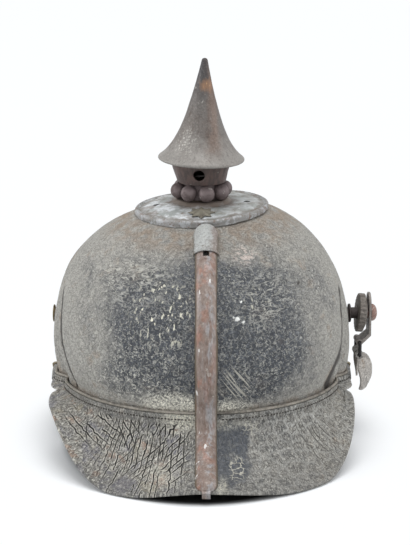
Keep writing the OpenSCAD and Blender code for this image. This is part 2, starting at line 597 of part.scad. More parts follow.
// Strap lug: a plate on the post, cranked in below the rosette, rolled round the buckle's bar.
// Strap parts lie in the knob's own axes: +X down, +Y across, +Z away from the skull.
lug_half = 6.5;
crank_from = rosette_r + lug_t / 2 + 0.4;
bar_x = crank_from + 4.6;
bar_out = 7.4;
bar_r = 1.1;
module strap_lug() color([0.42, 0.36, 0.32]) at_side(-knob_angle) difference() {
    union() {
        translate([0, 0, lug_out]) linear_extrude(lug_t) union() {
            translate([-7, -lug_half]) square([crank_from + 7, 2 * lug_half]);
            translate([-7, 0]) circle(r = lug_half);
        }
        translate([0, -lug_half, 0]) rotate([-90, 0, 0]) linear_extrude(2 * lug_half) crank_outline();
    }
    translate([0, 0, -5]) cylinder(r = knob_post_r + turn_gap, h = 40);
    rotate([90, 0, 0]) translate([bar_x, bar_out, 0]) cylinder(r = bar_r + turn_gap, h = 40, center = true);
}
module crank_outline() {
    a = [crank_from - 0.4, -lug_out - lug_t];
    b = [bar_x, -bar_out];
    polygon([a - [1, 0], a + [0.6, 0], [bar_x + 1, -bar_out - 2], [bar_x - 1.6, -bar_out - 1.2],
        [crank_from - 1, -lug_out], [crank_from - 1.4, -lug_out]]);
    translate(b) circle(r = bar_r + 1);
}

// Buckle: a wire frame with a bar at its top and a prong
buckle_half = strap_w / 2 + 1.6;
buckle_h = 8;
frame_r = 1.1;
module buckle_bar(x) translate([x, 0, bar_out]) rotate([90, 0, 0])
    cylinder(r = frame_r, h = 2 * buckle_half, center = true);
module strap_buckle() color([0.12, 0.12, 0.12]) at_side(-knob_angle) {
    buckle_bar(bar_x);
    buckle_bar(bar_x + buckle_h);
    for (s = [-1, 1]) translate([bar_x, s * buckle_half, bar_out]) {
        rotate([0, 90, 0]) cylinder(r = frame_r, h = buckle_h);
        sphere(r = frame_r);
        translate([buckle_h, 0, 0]) sphere(r = frame_r);
    }
}

// Chin strap: a stiff folded end that hangs from the buckle's lower bar, with a twist
strap_x = bar_x + buckle_h;
strap_loop_r = frame_r + turn_gap + strap_t * 0.8;
// Each point is a share of the length, a distance outwards from the bar and an angle of twist
front_points = [[-0.1, 0.9, 0], [0.02, 1.2, -4], [0.2, 3, -20], [0.42, 5.2, -36], [0.62, 6.9, -30], [0.8, 5.9, -18], [1, 4.6, -8]];
tail_points = [[-0.1, -0.9, 0], [0.1, -1.3, 0], [0.3, -1.2, -4], [0.5, -0.7, -8]];
module chin_strap() color([0.3, 0.29, 0.29]) at_side(-knob_angle) difference() {
    union() {
        strap_layer(front_points, strap_t);
        strap_layer(tail_points, strap_t * 0.7);
        translate([strap_x, 0, bar_out]) rotate([90, 0, 0]) cylinder(r = strap_loop_r, h = strap_w, center = true);
    }
    translate([strap_x, 0, bar_out]) rotate([90, 0, 0]) cylinder(r = frame_r + turn_gap, h = 2 * strap_w, center = true);
}
module strap_layer(points, t) {
    h = strap_w / 2;
    line = [for (p = points) [strap_x + strap_loop_r + p[0] * strap_drop, bar_out + p[1], p[2]]];
    sweep([for (k = [0:len(line) - 1]) let (
        a = line[max(0, k - 1)], b = line[min(len(line) - 1, k + 1)], d = unit([b.x - a.x, 0, b.y - a.y]),
        w = [0, cos(line[k].z), 0] + sin(line[k].z) * cross([0, 1, 0], d), n = cross(d, w),
        p = [line[k].x, 0, line[k].y])
        [p - h * w + n * t / 2, p + h * w + n * t / 2, p + h * w - n * t / 2, p - h * w - n * t / 2]]);
}

// Bush left in the skull on the wearer's left, where the other knob was
bush_r = 3.9;
bush_in_r = 2.5;
module sleeve(out_r, in_r, lip) rotate_extrude() polygon([[in_r, -leather_t - 0.9], [out_r, -leather_t - 0.9],
    [out_r, 0.8], [out_r + lip, 0.8], [out_r + lip, 1.4], [in_r, 1.4]]);
module left_bush() color([0.6, 0.48, 0.3]) at_side(knob_angle) sleeve(bush_r, bush_in_r, 1.6);

// Two eyelets in the brow for the loops of a front plate
eyelet_angles = [180 - 24, 24 - 180];
eyelet_z = belt_z + 22;
eyelet_r = 2.6;
module plate_eyelets() color([0.6, 0.48, 0.3]) for (a = eyelet_angles) at_skin(a, eyelet_z) sleeve(eyelet_r, 1.7, 1.4);

// Liner: a sweatband round the opening, with tongues that rise from it
band_gap = 0.3;
tongue_gap = 0.3;
function liner_push(a) = side_flare * smooth((abs(a) - fold_angle) / 34) * smooth((150 - abs(a)) / 45)
    - fold_depth * exp(-pow((abs(a) - fold_angle) / 14, 2)) - seam_pinch;
function band_pt(a, inset) = let (k = leather_t + band_gap + inset)
    [(skull_w / 2 - k + liner_push(a)) * sin(a), (reach(a) - k + liner_push(a)) * cos(a)];
module sweatband() color([0.36, 0.28, 0.22]) translate([0, 0, rim_z + 1]) linear_extrude(band_h) difference() {
    polygon([for (a = columns) band_pt(a, 0)]);
    polygon([for (a = columns) band_pt(a, liner_t)]);
}
band_top = rim_z + 1 + band_h;
tongue_rows = [[0, 1], [0, 1], [0.16, 0.97], [0.32, 0.9], [0.47, 0.8], [0.6, 0.68], [0.68, 0.5]];
tongue_back = 8;
function tongue_pt(a, j, inset) = j == 0 ? concat(band_pt(a, liner_t + tongue_gap + inset), [band_top - 5])
    : j == 1 ? concat(band_pt(a, liner_t + tongue_gap + inset), [band_top + 2])
    : skull_pt(a, tongue_rows[j][0], leather_t + tongue_back + inset);
module tongue(mid) {
    half = 160 / tongues;
    n = 4;
    loops = [for (j = [0:len(tongue_rows) - 1]) let (w = half * tongue_rows[j][1])
        concat([for (i = [0:n]) tongue_pt(mid + mix(-w, w, i / n), j, 0)],
            [for (i = [n:-1:0]) tongue_pt(mid + mix(-w, w, i / n), j, liner_t)])];
    sweep(loops);
}
module liner_tongues() color([0.42, 0.33, 0.26]) for (k = [0:tongues - 1])
    let (a = 360 / tongues * (k + 0.5)) tongue(a > 180 ? a - 360 : a);

skull();
neck_guard();
front_visor();
visor_trim();
rear_welt();
front_welt();
rear_spine();
vent_slide();
spike_base();
spike_boss();
pearl_ring();
spike();
star_stud_rear();
star_stud_front();
stud_washers();
side_knob();
knob_washer();
rosette();
strap_lug();
strap_buckle();
chin_strap();
left_bush();
plate_eyelets();
sweatband();
liner_tongues();
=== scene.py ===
import math

import bpy
import numpy as np
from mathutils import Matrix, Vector


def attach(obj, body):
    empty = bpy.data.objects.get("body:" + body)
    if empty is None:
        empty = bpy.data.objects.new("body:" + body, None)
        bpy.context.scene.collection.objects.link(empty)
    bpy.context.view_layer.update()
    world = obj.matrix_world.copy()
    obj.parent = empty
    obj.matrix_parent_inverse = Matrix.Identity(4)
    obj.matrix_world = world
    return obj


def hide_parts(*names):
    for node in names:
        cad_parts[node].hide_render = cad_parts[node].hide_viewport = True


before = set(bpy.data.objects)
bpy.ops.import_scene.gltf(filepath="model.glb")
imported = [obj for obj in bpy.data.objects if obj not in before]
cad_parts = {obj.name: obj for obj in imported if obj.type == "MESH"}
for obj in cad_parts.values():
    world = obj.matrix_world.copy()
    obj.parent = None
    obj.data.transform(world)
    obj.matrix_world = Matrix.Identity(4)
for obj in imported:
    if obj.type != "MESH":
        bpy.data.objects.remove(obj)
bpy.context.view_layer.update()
print("frame loaded")

mm = 0.001  # shapes are worked out in millimetres, as the frame's own source is
skull = {
    "half": 93.4, "rearReach": 94, "frontReach": 119, "seamZ": 43.5, "beltRise": 32, "crownRise": 81.5,
    "leather": 2.8, "pinch": 7, "foldDepth": 2.6, "foldAngle": 82, "foldHalf": 3.4, "flare": 5,
    "roundSide": 2.2, "roundBack": 2.05, "roundBrow": 1.8, "skirt": 6, "crownHole": 22, "layerGap": 0.15,
    "seatGap": 0.25, "plateRadius": 42.2,
}
skull["beltZ"] = skull["seamZ"] + skull["beltRise"]
skull["rimZ"] = skull["seamZ"] - skull["skirt"]
skull["sideZ"] = skull["seamZ"] - 9


# Number fields: smooth noise, the same in every run, and patches

def hashed(cells, seed):
    c = cells.astype(np.int64).astype(np.uint32)
    n = sum(c[..., k] * np.uint32(factor) for k, factor in enumerate((374761393, 668265263, 2246822519)))
    n = (n + np.uint32(seed * 7919 + 17)) * np.uint32(3266489917)
    n = (n ^ (n >> np.uint32(15))) * np.uint32(2654435761)
    return ((n ^ (n >> np.uint32(13))) & np.uint32(0xFFFFFF)).astype(float) / 0xFFFFFF


def noise(points, size, seed, layers=1):  # from about -1 to 1
    total, weight, reach = 0, 1.0, 0
    for layer in range(layers):
        p = points / size * 2 ** layer + 31.7 * layer
        base = np.floor(p)
        t = p - base
        t = t * t * t * (t * (t * 6 - 15) + 10)
        value = 0
        for corner in range(8):
            step = np.array([corner & 1, corner >> 1 & 1, corner >> 2 & 1])
            share = np.prod(np.where(step, t, 1 - t), axis=-1)
            value = value + share * hashed(base + step, seed + layer)
        total = total + weight * (2 * value - 1)
        reach += weight
        weight *= 0.5
    return total / reach * 1.6


def held(t):
    return np.clip(t, 0, 1)


def smooth(t):
    u = held(t)
    return u * u * (3 - 2 * u)


def between(a, b, t):
    return a + (b - a) * t


def rounded(t, least):  # falls like a quarter circle as t goes from 0 to 1, down to the root of least
    return np.sqrt(np.clip(1 - held(t) ** 2, least, 1))


def spots(points, *patches):  # each patch is a weight, a centre and the reach along each axis
    return sum(weight * smooth(1 - np.linalg.norm((points - np.array(centre)) / np.array(reach), axis=-1))
               for weight, centre, reach in patches)


def together(*parts):  # numbers and arrays as one array's last axis
    return np.stack(np.broadcast_arrays(*parts), -1)


def unit(v, least=0.0):
    return v / np.maximum(np.linalg.norm(v, axis=-1, keepdims=True), least)


def runOf(line):  # the way travelled at each point of a line, or of lines side by side
    steps = np.linalg.norm(np.diff(line, axis=0), axis=-1)
    return np.concatenate([0 * steps[:1], np.cumsum(steps, 0)])


def stepAside(path, distance):  # a flat path moved to its left
    way = unit(np.gradient(path, axis=0))
    return path + distance * together(-way[:, 1], way[:, 0])


# The skull's surface by azimuth in degrees from the back, as in the frame

def sind(a):
    return np.sin(np.radians(a))


def cosd(a):
    return np.cos(np.radians(a))


def reachAt(a):
    return np.where(cosd(a) > 0, skull["rearReach"], skull["frontReach"])


def ovalAt(a, inset=0.0):  # the plan's radius at the belt
    return np.hypot((skull["half"] - inset) * sind(a), (reachAt(a) - inset) * cosd(a))


def roundnessAt(a):
    c = cosd(a)
    return between(skull["roundSide"], np.where(c > 0, skull["roundBack"], skull["roundBrow"]), c * c)


def skullPoint(a, s, inset=0.0):  # s is -1 at the seam, 0 at the belt and 1 at the crown
    a, s = np.broadcast_arrays(np.asarray(a, float), np.asarray(s, float))
    power, above = 2 / roundnessAt(a), s >= 0
    up = held(s)
    z = np.where(above, skull["beltZ"] + (skull["crownRise"] - inset) * sind(90 * up) ** power,
                 skull["beltZ"] + s * skull["beltRise"])
    c = np.where(above, held(cosd(90 * up)) ** power, 1)
    turn = np.abs(a)
    fold = skull["foldDepth"] * np.exp(-((turn - skull["foldAngle"]) / skull["foldHalf"]) ** 2)
    fold = fold * smooth((skull["beltZ"] + 28 - z) / 20)
    flare = skull["flare"] * smooth((turn - skull["foldAngle"]) / 8) * smooth((150 - turn) / 45)
    flare = flare * held((skull["beltZ"] + 22 - z) / (22 + skull["beltRise"])) ** 1.6
    push = flare - fold - np.where(above, 0, skull["pinch"] * s * s)
    side, length = (skull["half"] - inset) * c + push, (reachAt(a) - inset) * c + push
    return together(side * sind(a), length * cosd(a), z)


def shareAt(a, z):  # the s of a height above the belt
    rise = (z - skull["beltZ"]) / skull["crownRise"]
    return math.degrees(math.asin(rise ** (float(roundnessAt(a)) / 2))) / 90


def outward(a):
    a = np.asarray(a, float)
    return unit(together(sind(a) / skull["half"], cosd(a) / reachAt(a), 0 * a))


def sideFrame(a, z):  # the level axes of a side fitting: its place, then down, across and out
    out, down = outward(a), np.array([0, 0, -1.0])
    return skullPoint(a, shareAt(a, z)), down, np.cross(out, down), out


knob = {"angle": -97, "z": 79.5}
knobAt, bushAt = sideFrame(knob["angle"], knob["z"]), sideFrame(-knob["angle"], knob["z"])


# Mesh makers

def gridNormals(grid, row, closed=False):  # outward, as the given row tells
    columns = (np.roll(grid, -1, 1) - np.roll(grid, 1, 1)) if closed else np.gradient(grid, axis=1)
    normal = unit(np.cross(columns, np.gradient(grid, axis=0)), 1e-9)
    return normal if (normal[row] * grid[row] * [1, 1, 0]).sum() > 0 else -normal


def meshOf(points, faces, marks=None, sharp=38):  # points in millimetres
    used = np.unique(np.concatenate([f.ravel() for f in faces]))
    place = np.full(len(points), -1)
    place[used] = np.arange(len(used))
    points, faces = points[used], [place[f] for f in faces]
    volume = 0
    for f in faces:
        for k in range(1, f.shape[1] - 1):
            volume += (points[f[:, 0]] * np.cross(points[f[:, k]], points[f[:, k + 1]])).sum()
    if volume < 0:
        faces = [f[:, ::-1] for f in faces]
    mesh = bpy.data.meshes.new("shape")
    mesh.from_pydata((points * mm).tolist(), [], [row for f in faces for row in f.tolist()])
    for key, values in (marks or {}).items():
        mark = mesh.attributes.new(key, "FLOAT", "POINT")
        mark.data.foreach_set("value", values[used].astype(np.float32))
    mesh.polygons.foreach_set("use_smooth", np.ones(len(mesh.polygons), bool))
    mesh.update()
    mesh.set_sharp_from_angle(angle=math.radians(sharp))
    return mesh


def cellsOf(rows, columns, closed):  # the corner numbers of every cell in a grid of points
    i, j = np.meshgrid(np.arange(rows - 1), np.arange(columns if closed else columns - 1), indexing="ij")
    corners = [(i, j), (i, j + 1), (i + 1, j + 1), (i + 1, j)]
    return np.stack([row * columns + column % columns for row, column in corners], -1)


def shellMesh(outer, inner, closed=False, keep=None, marks=None):
    rows, columns = outer.shape[:2]
    cells, count = cellsOf(rows, columns, closed), rows * columns
    keep = np.ones(cells.shape[:2], bool) if keep is None else keep
    beyond = np.pad(keep, 1)
    if closed:
        beyond[1:-1, 0], beyond[1:-1, -1] = keep[:, -1], keep[:, 0]
    walls = []
    for k, beside in enumerate([beyond[:-2, 1:-1], beyond[1:-1, 2:], beyond[2:, 1:-1], beyond[1:-1, :-2]]):
        edge = cells[keep & ~beside]
        a, b = edge[:, k], edge[:, (k + 1) % 4]
        walls.append(np.stack([b, a, a + count, b + count], -1))
    face = cells[keep]
    points = np.concatenate([outer.reshape(-1, 3), inner.reshape(-1, 3)])
    both = {key: np.tile(np.broadcast_to(v, (rows, columns)).ravel(), 2) for key, v in (marks or {}).items()}
    return meshOf(points, [face, face[:, ::-1] + count, np.concatenate(walls)], both)


def tubeMesh(loops, sharp=50):  # loops: steps x points round x 3
    steps, around = loops.shape[:2]
    ring = np.arange(around)[None]
    faces = [cellsOf(steps, around, True).reshape(-1, 4), ring[:, ::-1], (steps - 1) * around + ring]
    return meshOf(loops.reshape(-1, 3), faces, sharp=sharp)


def joined(meshes):  # meshes: points and four-cornered faces
    starts = np.cumsum([0] + [len(points) for points, _ in meshes])
    faces = np.concatenate([quads + start for (_, quads), start in zip(meshes, starts)])
    return meshOf(np.concatenate([points for points, _ in meshes]), [faces], sharp=50)


def addPiece(name, mesh, slot, look, *nodes, body="helmet"):
    piece = bpy.data.objects.new(name, mesh)
    mesh.name = name
    bpy.context.scene.collection.objects.link(piece)
    mesh.materials.clear()
    mesh.materials.append(finishes[look])
    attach(piece, body)
    if nodes:
        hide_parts(*nodes)
    print(f"piece {name}: {len(mesh.polygons)} faces")


# Shader sums

def tone(red, green, blue):  # a colour as the eye names it, 0 to 255
    scale = [v / 255 for v in (red, green, blue)]
    return tuple(v / 12.92 if v <= 0.04045 else ((v + 0.055) / 1.055) ** 2.4 for v in scale) + (1.0,)


def wireSum(operation, turned=False):
    def applied(self, *others):
        values = (*others, self) if turned else (self, *others)
        return self.nodes.maths(operation, *values)

    return applied


class Wire:  # one socket, ready for sums
    def __init__(self, nodes, node, socket):
        self.nodes, self.node, self.socket = nodes, node, socket

    def out(self, name):
        return Wire(self.nodes, self.node, self.node.outputs[name])

    __add__ = wireSum("ADD")
    __radd__ = wireSum("ADD", True)
    __sub__ = wireSum("SUBTRACT")
    __rsub__ = wireSum("SUBTRACT", True)
    __mul__ = wireSum("MULTIPLY")
    __rmul__ = wireSum("MULTIPLY", True)
    most = wireSum("MAXIMUM")
    away = wireSum("ABSOLUTE")

    def held(self):
        return self.nodes.maths("ADD", self, 0.0, clamp=True)

    def step(self, low, high):  # 0 below low, 1 above high, smooth between
        wide = {"interpolation_type": "SMOOTHSTEP"}
        return self.nodes.add("MapRange", wide, {"Value": self, "From Min": low, "From Max": high})


def shadeOf(colour):
    return colour if isinstance(colour, Wire) else tone(*colour)


class Nodes:  # a node tree that takes sums
    def __init__(self, tree):
        self.tree = tree

    def add(self, kind, settings=None, values=None):  # values: in order, or by socket
        node = self.tree.nodes.new("ShaderNode" + kind)
        for key, value in (settings or {}).items():
            setattr(node, key, value)
        for key, value in values.items() if isinstance(values, dict) else enumerate(values or []):
            self.put(node.inputs[key], value)
        return Wire(self, node, next((s for s in node.outputs if s.enabled), None))

    def maths(self, operation, *values, clamp=False):
        return self.add("Math", {"operation": operation, "use_clamp": clamp}, values)

    def vector(self, operation, *values):
        return self.add("VectorMath", {"operation": operation}, values)

    def put(self, socket, value):
        if isinstance(value, Wire):
            self.tree.links.new(value.socket, socket)
        else:
            socket.default_value = value


class Finish(Nodes):
    def __init__(self, name):
        self.material = bpy.data.materials.new(name)
        self.material.use_nodes = True
        super().__init__(self.material.node_tree)
        self.shader = self.tree.nodes["Principled BSDF"]
        self.place = self.add("TexCoord").out("Object")

    def mark(self, name):  # a value stored on the mesh
        return self.add("Attribute", {"attribute_name": name}).out("Fac")

    def cloud(self, size, detail=4, rough=0.55, twist=0.0, place=None):  # size in the place's own unit
        return self.add("TexNoise", None, {"Vector": place or self.place, "Scale": 1 / size, "Detail": detail,
                                           "Roughness": rough, "Distortion": twist})

    def cells(self, size, place, flat=False):  # distance to the edges of a net of cells
        settings = {"feature": "DISTANCE_TO_EDGE", "voronoi_dimensions": "2D" if flat else "3D"}
        return self.add("TexVoronoi", settings, {"Vector": place, "Scale": 1 / size})

    def moved(self, amount, size, place=None):  # coordinates pushed about by noise
        place = place or self.place
        push = self.add("TexNoise", None, {"Vector": place, "Scale": 1 / size, "Detail": 3}).out("Color")
        push = self.vector("SUBTRACT", push, (0.5, 0.5, 0.5))
        push = self.add("VectorMath", {"operation": "SCALE"}, {0: push, "Scale": 2 * amount})
        return self.vector("ADD", place, push)

    def stretched(self, scale, place=None):
        return self.vector("MULTIPLY", place or self.place, scale)

    def worms(self, size, place=None, scale=(1, 1, 1)):  # thin curling lines, a light one beside a dark one
        n = self.cloud(size, 2, 0.5, 0.5, self.stretched(scale, place))
        return [1 - (n - middle).away().step(0.01, 0.045) for middle in (0.555, 0.475)]

    def axis(self, name):
        return self.add("SeparateXYZ", None, [self.place]).out(name)

    def mixed(self, first, second, share):
        node = self.add("Mix", {"data_type": "RGBA"}, {0: share, 6: first, 7: second}).node
        return Wire(self, node, node.outputs[2])

    def coats(self, colour, *layers):  # each layer is a colour, from 0 to 255 or a wire, and its share
        colour = shadeOf(colour)
        for shade, share in layers:
            colour = self.mixed(colour, shadeOf(shade), share)
        return colour

    def done(self, colour, rough, shine, metal=0.0, height=None, depth=0.0, strength=1.0):  # depth in metres
        names = {"Base Color": colour, "Roughness": rough, "Specular IOR Level": shine, "Metallic": metal}
        if height:
            relief = {"Height": height, "Distance": depth, "Strength": strength}
            names["Normal"] = self.add("Bump", None, relief)
        for key, value in names.items():
            self.put(self.shader.inputs[key], value)
        return self.material


def dustAndPaintedLightBase(f, dark, middle, dust):
    broad, small = f.cloud(0.026, 5, 0.62, 0.4), f.cloud(0.0042, 5, 0.62)
    # the dust mark is real dust, with painted sheen on the skull's top and sides and painted shade by the
    # guard's lower edge
    dustAndPaintedLightShare = (f.mark("dust") + (broad - 0.5) * 1.15 + (small - 0.5) * 0.6).step(0.1, 0.95)
    tinge = f.cloud(0.014, 4, 0.6, 0.3, f.moved(0.003, 0.02))
    colour = f.coats(dark, (middle, small.step(0.36, 0.64)), (dust, dustAndPaintedLightShare * 0.92),
                     ((150, 128, 104), tinge.step(0.58, 0.7) * (0.1 + dustAndPaintedLightShare * 0.3)))
    return colour, small, dustAndPaintedLightShare


def wornLeather(name, dark, middle, dust, pale):
    f = Finish(name)
    colour, small, dustAndPaintedLightShare = dustAndPaintedLightBase(f, dark, middle, dust)
    lie, calm, wave = f.moved(0.0009, 0.005), 1 - dustAndPaintedLightShare * 0.6, f.mark("wave")
    grit = f.cloud(0.00125, 3, 0.65, 0.3, lie)
    light, shade = f.worms(0.0021, lie)
    waveLight, waveShade = f.worms(0.0026, lie, (0.34, 0.34, 1.3))
    still = 1 - wave * 0.5
    light, shade = (light * still).most(waveLight * wave), (shade * still).most(waveShade * wave)
    zones = f.cloud(0.0085, 4, 0.6).step(0.36, 0.58)
    specks = f.cloud(0.002, 2, 0.5, 0.0, f.stretched((1, 1, 0.28), f.moved(0.001, 0.006))).step(0.61, 0.66)
    stain = f.mark("stain") * f.cloud(0.009, 4).step(0.35, 0.6)
    cream = f.mark("cream") * (0.15 + grit.step(0.42, 0.52) * 0.9) * (1 - shade * 0.7)
    turned = f.add("VectorRotate", {"rotation_type": "Y_AXIS"}, {"Vector": f.place, "Angle": -0.62})
    across = f.stretched((1 / 0.0012, 1 / 0.012, 1 / 0.03), turned)
    scratch = f.cloud(1, 1, 0.5, 0.0, across).step(0.55, 0.63) * f.mark("scratch")
    strokes = f.cloud(0.0017, 2, 0.5, 0.0, f.stretched((0.4, 1, 1), f.moved(0.003, 0.008))).step(0.51, 0.56)
    colour = f.coats(
        colour, ((34, 36, 40), (1 - grit.step(0.38, 0.47)) * calm * 0.5),
        ((32, 34, 38), shade * (0.14 + calm * 0.5 + wave * 0.34).held()),
        ((178, 180, 180), grit.step(0.55, 0.62) * calm * 0.3),
        (pale, light * (0.2 + calm * 0.14 + wave * 0.26)),
        ((134, 112, 90), stain * 0.6),
        (pale, (light * zones * f.mark("pale")).held() * 0.9),
        ((226, 222, 208), cream.held()),
        ((236, 236, 232), f.mark("splash").step(0.3, 0.6)),
        ((222, 218, 200), (specks * f.mark("fleck")).held()),
        ((196, 192, 180), scratch * 0.75),
        ((208, 193, 184), strokes * f.mark("scrape") * 0.75),
        # this mark darkens cracks, and on the skull it also paints shade into the side creases and under the
        # plate
        ((40, 34, 30), f.mark("crackAndShade").step(0.15, 0.8) * 0.92))
    height = small * 0.4 + grit * 0.4 + light * 0.45 - shade * 0.45 - scratch * 0.3
    return f.done(colour, (0.4 + dustAndPaintedLightShare * 0.3 + small * 0.14 + grit * 0.1).held(), 0.5, 0.0, height, 0.00045)


def barkLeather(name, dark, middle, dust, pale):  # its marks give each point's place along and down the guard
    f = Finish(name)
    colour, small, dustAndPaintedLightShare = dustAndPaintedLightBase(f, dark, middle, dust)
    bark, slate, girth, down = [f.mark(key) for key in ("bark", "slate", "girth", "down")]
    chart = f.add("CombineXYZ", None, [girth, down])
    striae = f.cloud(0.95, 2, 0.6, 0.2, f.stretched((1, 0.34, 1), f.moved(0.5, 6, chart)))
    grit = f.cloud(1.25, 3, 0.65, 0.3, chart)
    light, shade = f.worms(1.7, f.moved(0.6, 5, chart), (1, 0.7, 1))
    veins = 1 - f.cells(3.9, f.moved(2.6, 4, chart), True).step(0.02, 0.11)
    soft = 1 - f.cells(8, f.moved(5, 9, chart), True).step(0.03, 0.16)
    patch = f.cloud(15, 4, 0.6, 0.4, chart)
    purple = (1 - patch.step(0.38, 0.48)) * bark
    rusty = patch.step(0.54, 0.64) * small.step(0.35, 0.6) * bark
    yellow = f.cloud(17, 3, 0.6, 0.3, chart).step(0.56, 0.68) * bark
    rest, line = 1 - slate * 0.8, striae * 0.65 + grit * 0.35
    vein = veins * (f.mark("vein") + (small - 0.5) * 0.6).step(0.2, 0.6)
    puckerAndShade = f.maths("SINE", girth * (2 * math.pi / stitch["pitch"]) + grit * 14) * (1 - down.step(5, 11))
    puckerAndShade = puckerAndShade * f.cloud(5, 3, 0.6, 0.0, chart).step(0.4, 0.55)
    cuts, ridgeHighlights, wide = 0, 0, small.step(0.36, 0.64) * 0.4
    for k in range(4):
        far, cut = f.mark(f"line{k}").away(), f.mark(f"cut{k}")
        cuts = ((1 - (far - wide).step(0.05, 0.42)) * cut).most(cuts)
        # painted highlight: a pale line along each side of a crack, as if its rims caught the light
        ridgeHighlights = ((1 - (far - 0.95).away().step(0.15, 0.45)) * cut).most(ridgeHighlights)
    colour = f.coats(
        colour, ((70, 75, 83), slate * 0.92),
        ((36, 35, 34), (1 - line.step(0.4, 0.47)) * (0.5 + bark * 0.35) * rest),
        ((38, 37, 36), shade * (0.42 + bark * 0.15) * rest),
        ((214, 211, 200), line.step(0.53, 0.6) * (0.42 + bark * 0.4) * rest),
        ((208, 206, 198), light * (0.46 + bark * 0.1) * rest),
        ((182, 181, 176), soft * f.mark("pale") * rest * 0.7),
        ((100, 100, 118), purple * 0.4), ((164, 118, 88), rusty * 0.42), ((178, 168, 136), yellow * 0.32),
        (pale, vein * 0.9),
        ((222, 218, 202), (f.mark("cream") * (0.2 + grit.step(0.42, 0.58))).held()),
        # painted shade in the troughs of the stitch puckers
        ((58, 54, 50), puckerAndShade.step(0.2, 0.9) * 0.4),
        # painted shade: darker over the lowest two centimetres, near the floor
        ((96, 92, 86), (1 - f.axis("Z").step(0.004, 0.02)) * 0.3),
        ((214, 210, 198), ridgeHighlights.step(0.1, 0.9) * 0.75),
        ((24, 22, 21), cuts.step(0.05, 0.75) * 0.95))
    height = small * 0.35 + striae * 0.5 + grit * 0.35 + light * 0.3 - shade * 0.3
    height = height - cuts * 1.2 + vein * 0.25 - puckerAndShade * 0.2
    return f.done(colour, (0.46 + dustAndPaintedLightShare * 0.26 + small * 0.14).held(), 0.45, 0.0, height, 0.0008)


def plainLeather(name, dark, light, size):
    f = Finish(name)
    broad, small = f.cloud(0.02, 4, 0.6), f.cloud(size, 6, 0.65)
    pores = f.cells(0.0011, f.moved(0.0005, 0.002))
    colour = f.coats(dark, (light, (broad * 0.6 + small * 0.6).step(0.35, 0.8)),
                     ((48, 40, 34), (1 - pores.step(0.0, 0.12)) * 0.35))
    height = small * 0.6 + pores.step(0.0, 0.2) * 0.3
    return f.done(colour, (0.6 + small * 0.25).held(), 0.35, 0.0, height, 0.0003, 0.7)


def oldMetal(name, clean, stain, deep, metal=0.3, rust=0.5, streak=1, spots=0.4, rough=0.5, tint=None):
    f = Finish(name)
    lie = f.stretched((1, 1, streak))
    broad, small = f.cloud(0.016, 5, 0.62, 0.5, lie), f.cloud(0.0028, 6, 0.7, 0.0, lie)
    pits = f.cells(0.0016, f.moved(0.0006, 0.002))
    mottle = (broad * 0.75 + small * 0.45).step(0.78 - 0.5 * rust, 1.0 - 0.4 * rust)
    colour = f.coats(clean, (stain, mottle), (deep, f.cloud(0.006, 5, 0.7, 0.8).step(0.56, 0.7) * 0.6))
    if tint:
        colour = tint(f, colour, small)
    pit = (1 - pits.step(0.0, 0.1)) * small.step(0.5, 0.65)
    pale = f.cloud(0.005, 3).step(0.66, 0.72) * small.step(0.45, 0.6)
    colour = f.coats(colour, ((44, 36, 32), pit * 0.5 * spots), ((206, 204, 196), pale * spots))
    rough, metal = (rough + mottle * 0.22 + small * 0.12).held(), (metal * (1 - mottle * 0.6)).held()
    return f.done(colour, rough, 0.5, metal, small * 0.6 - pit * 0.6 + pale * 0.3, 0.0003, 0.7)


def plateTint(f, colour, small):  # mottled, with brown round the cone and in the groove by the rim
    radius = f.vector("LENGTH", f.stretched((1, 1, 0)))
    ragged = radius + (f.cloud(0.007, 4, 0.6) - 0.5) * 0.012
    bloom = f.cloud(0.009, 5, 0.65, 0.4).step(0.42, 0.56) * (0.45 + f.axis("X").step(-0.03, 0.02) * 0.55)
    brown = f.cloud(0.012, 4, 0.6, 0.3, f.moved(0.003, 0.01)).step(0.53, 0.64)
    groove = ragged.step(0.0345, 0.0375) * (1 - radius.step(0.0388, 0.0398))
    rim = radius.step(0.0394, 0.0404)
    return f.coats(colour, ((214, 217, 220), bloom * (0.42 + small.step(0.4, 0.6) * 0.6)),
                   ((112, 98, 86), brown * 0.6), ((100, 87, 77), (1 - ragged.step(0.0175, 0.0245)) * 0.9),
                   ((100, 90, 80), groove * 0.6), ((120, 117, 114), rim * 0.75),
                   ((178, 181, 184), rim * f.cloud(0.0035, 4, 0.65).step(0.48, 0.58) * 0.6),
                   ((112, 88, 72), rim * small.step(0.52, 0.64) * 0.7))


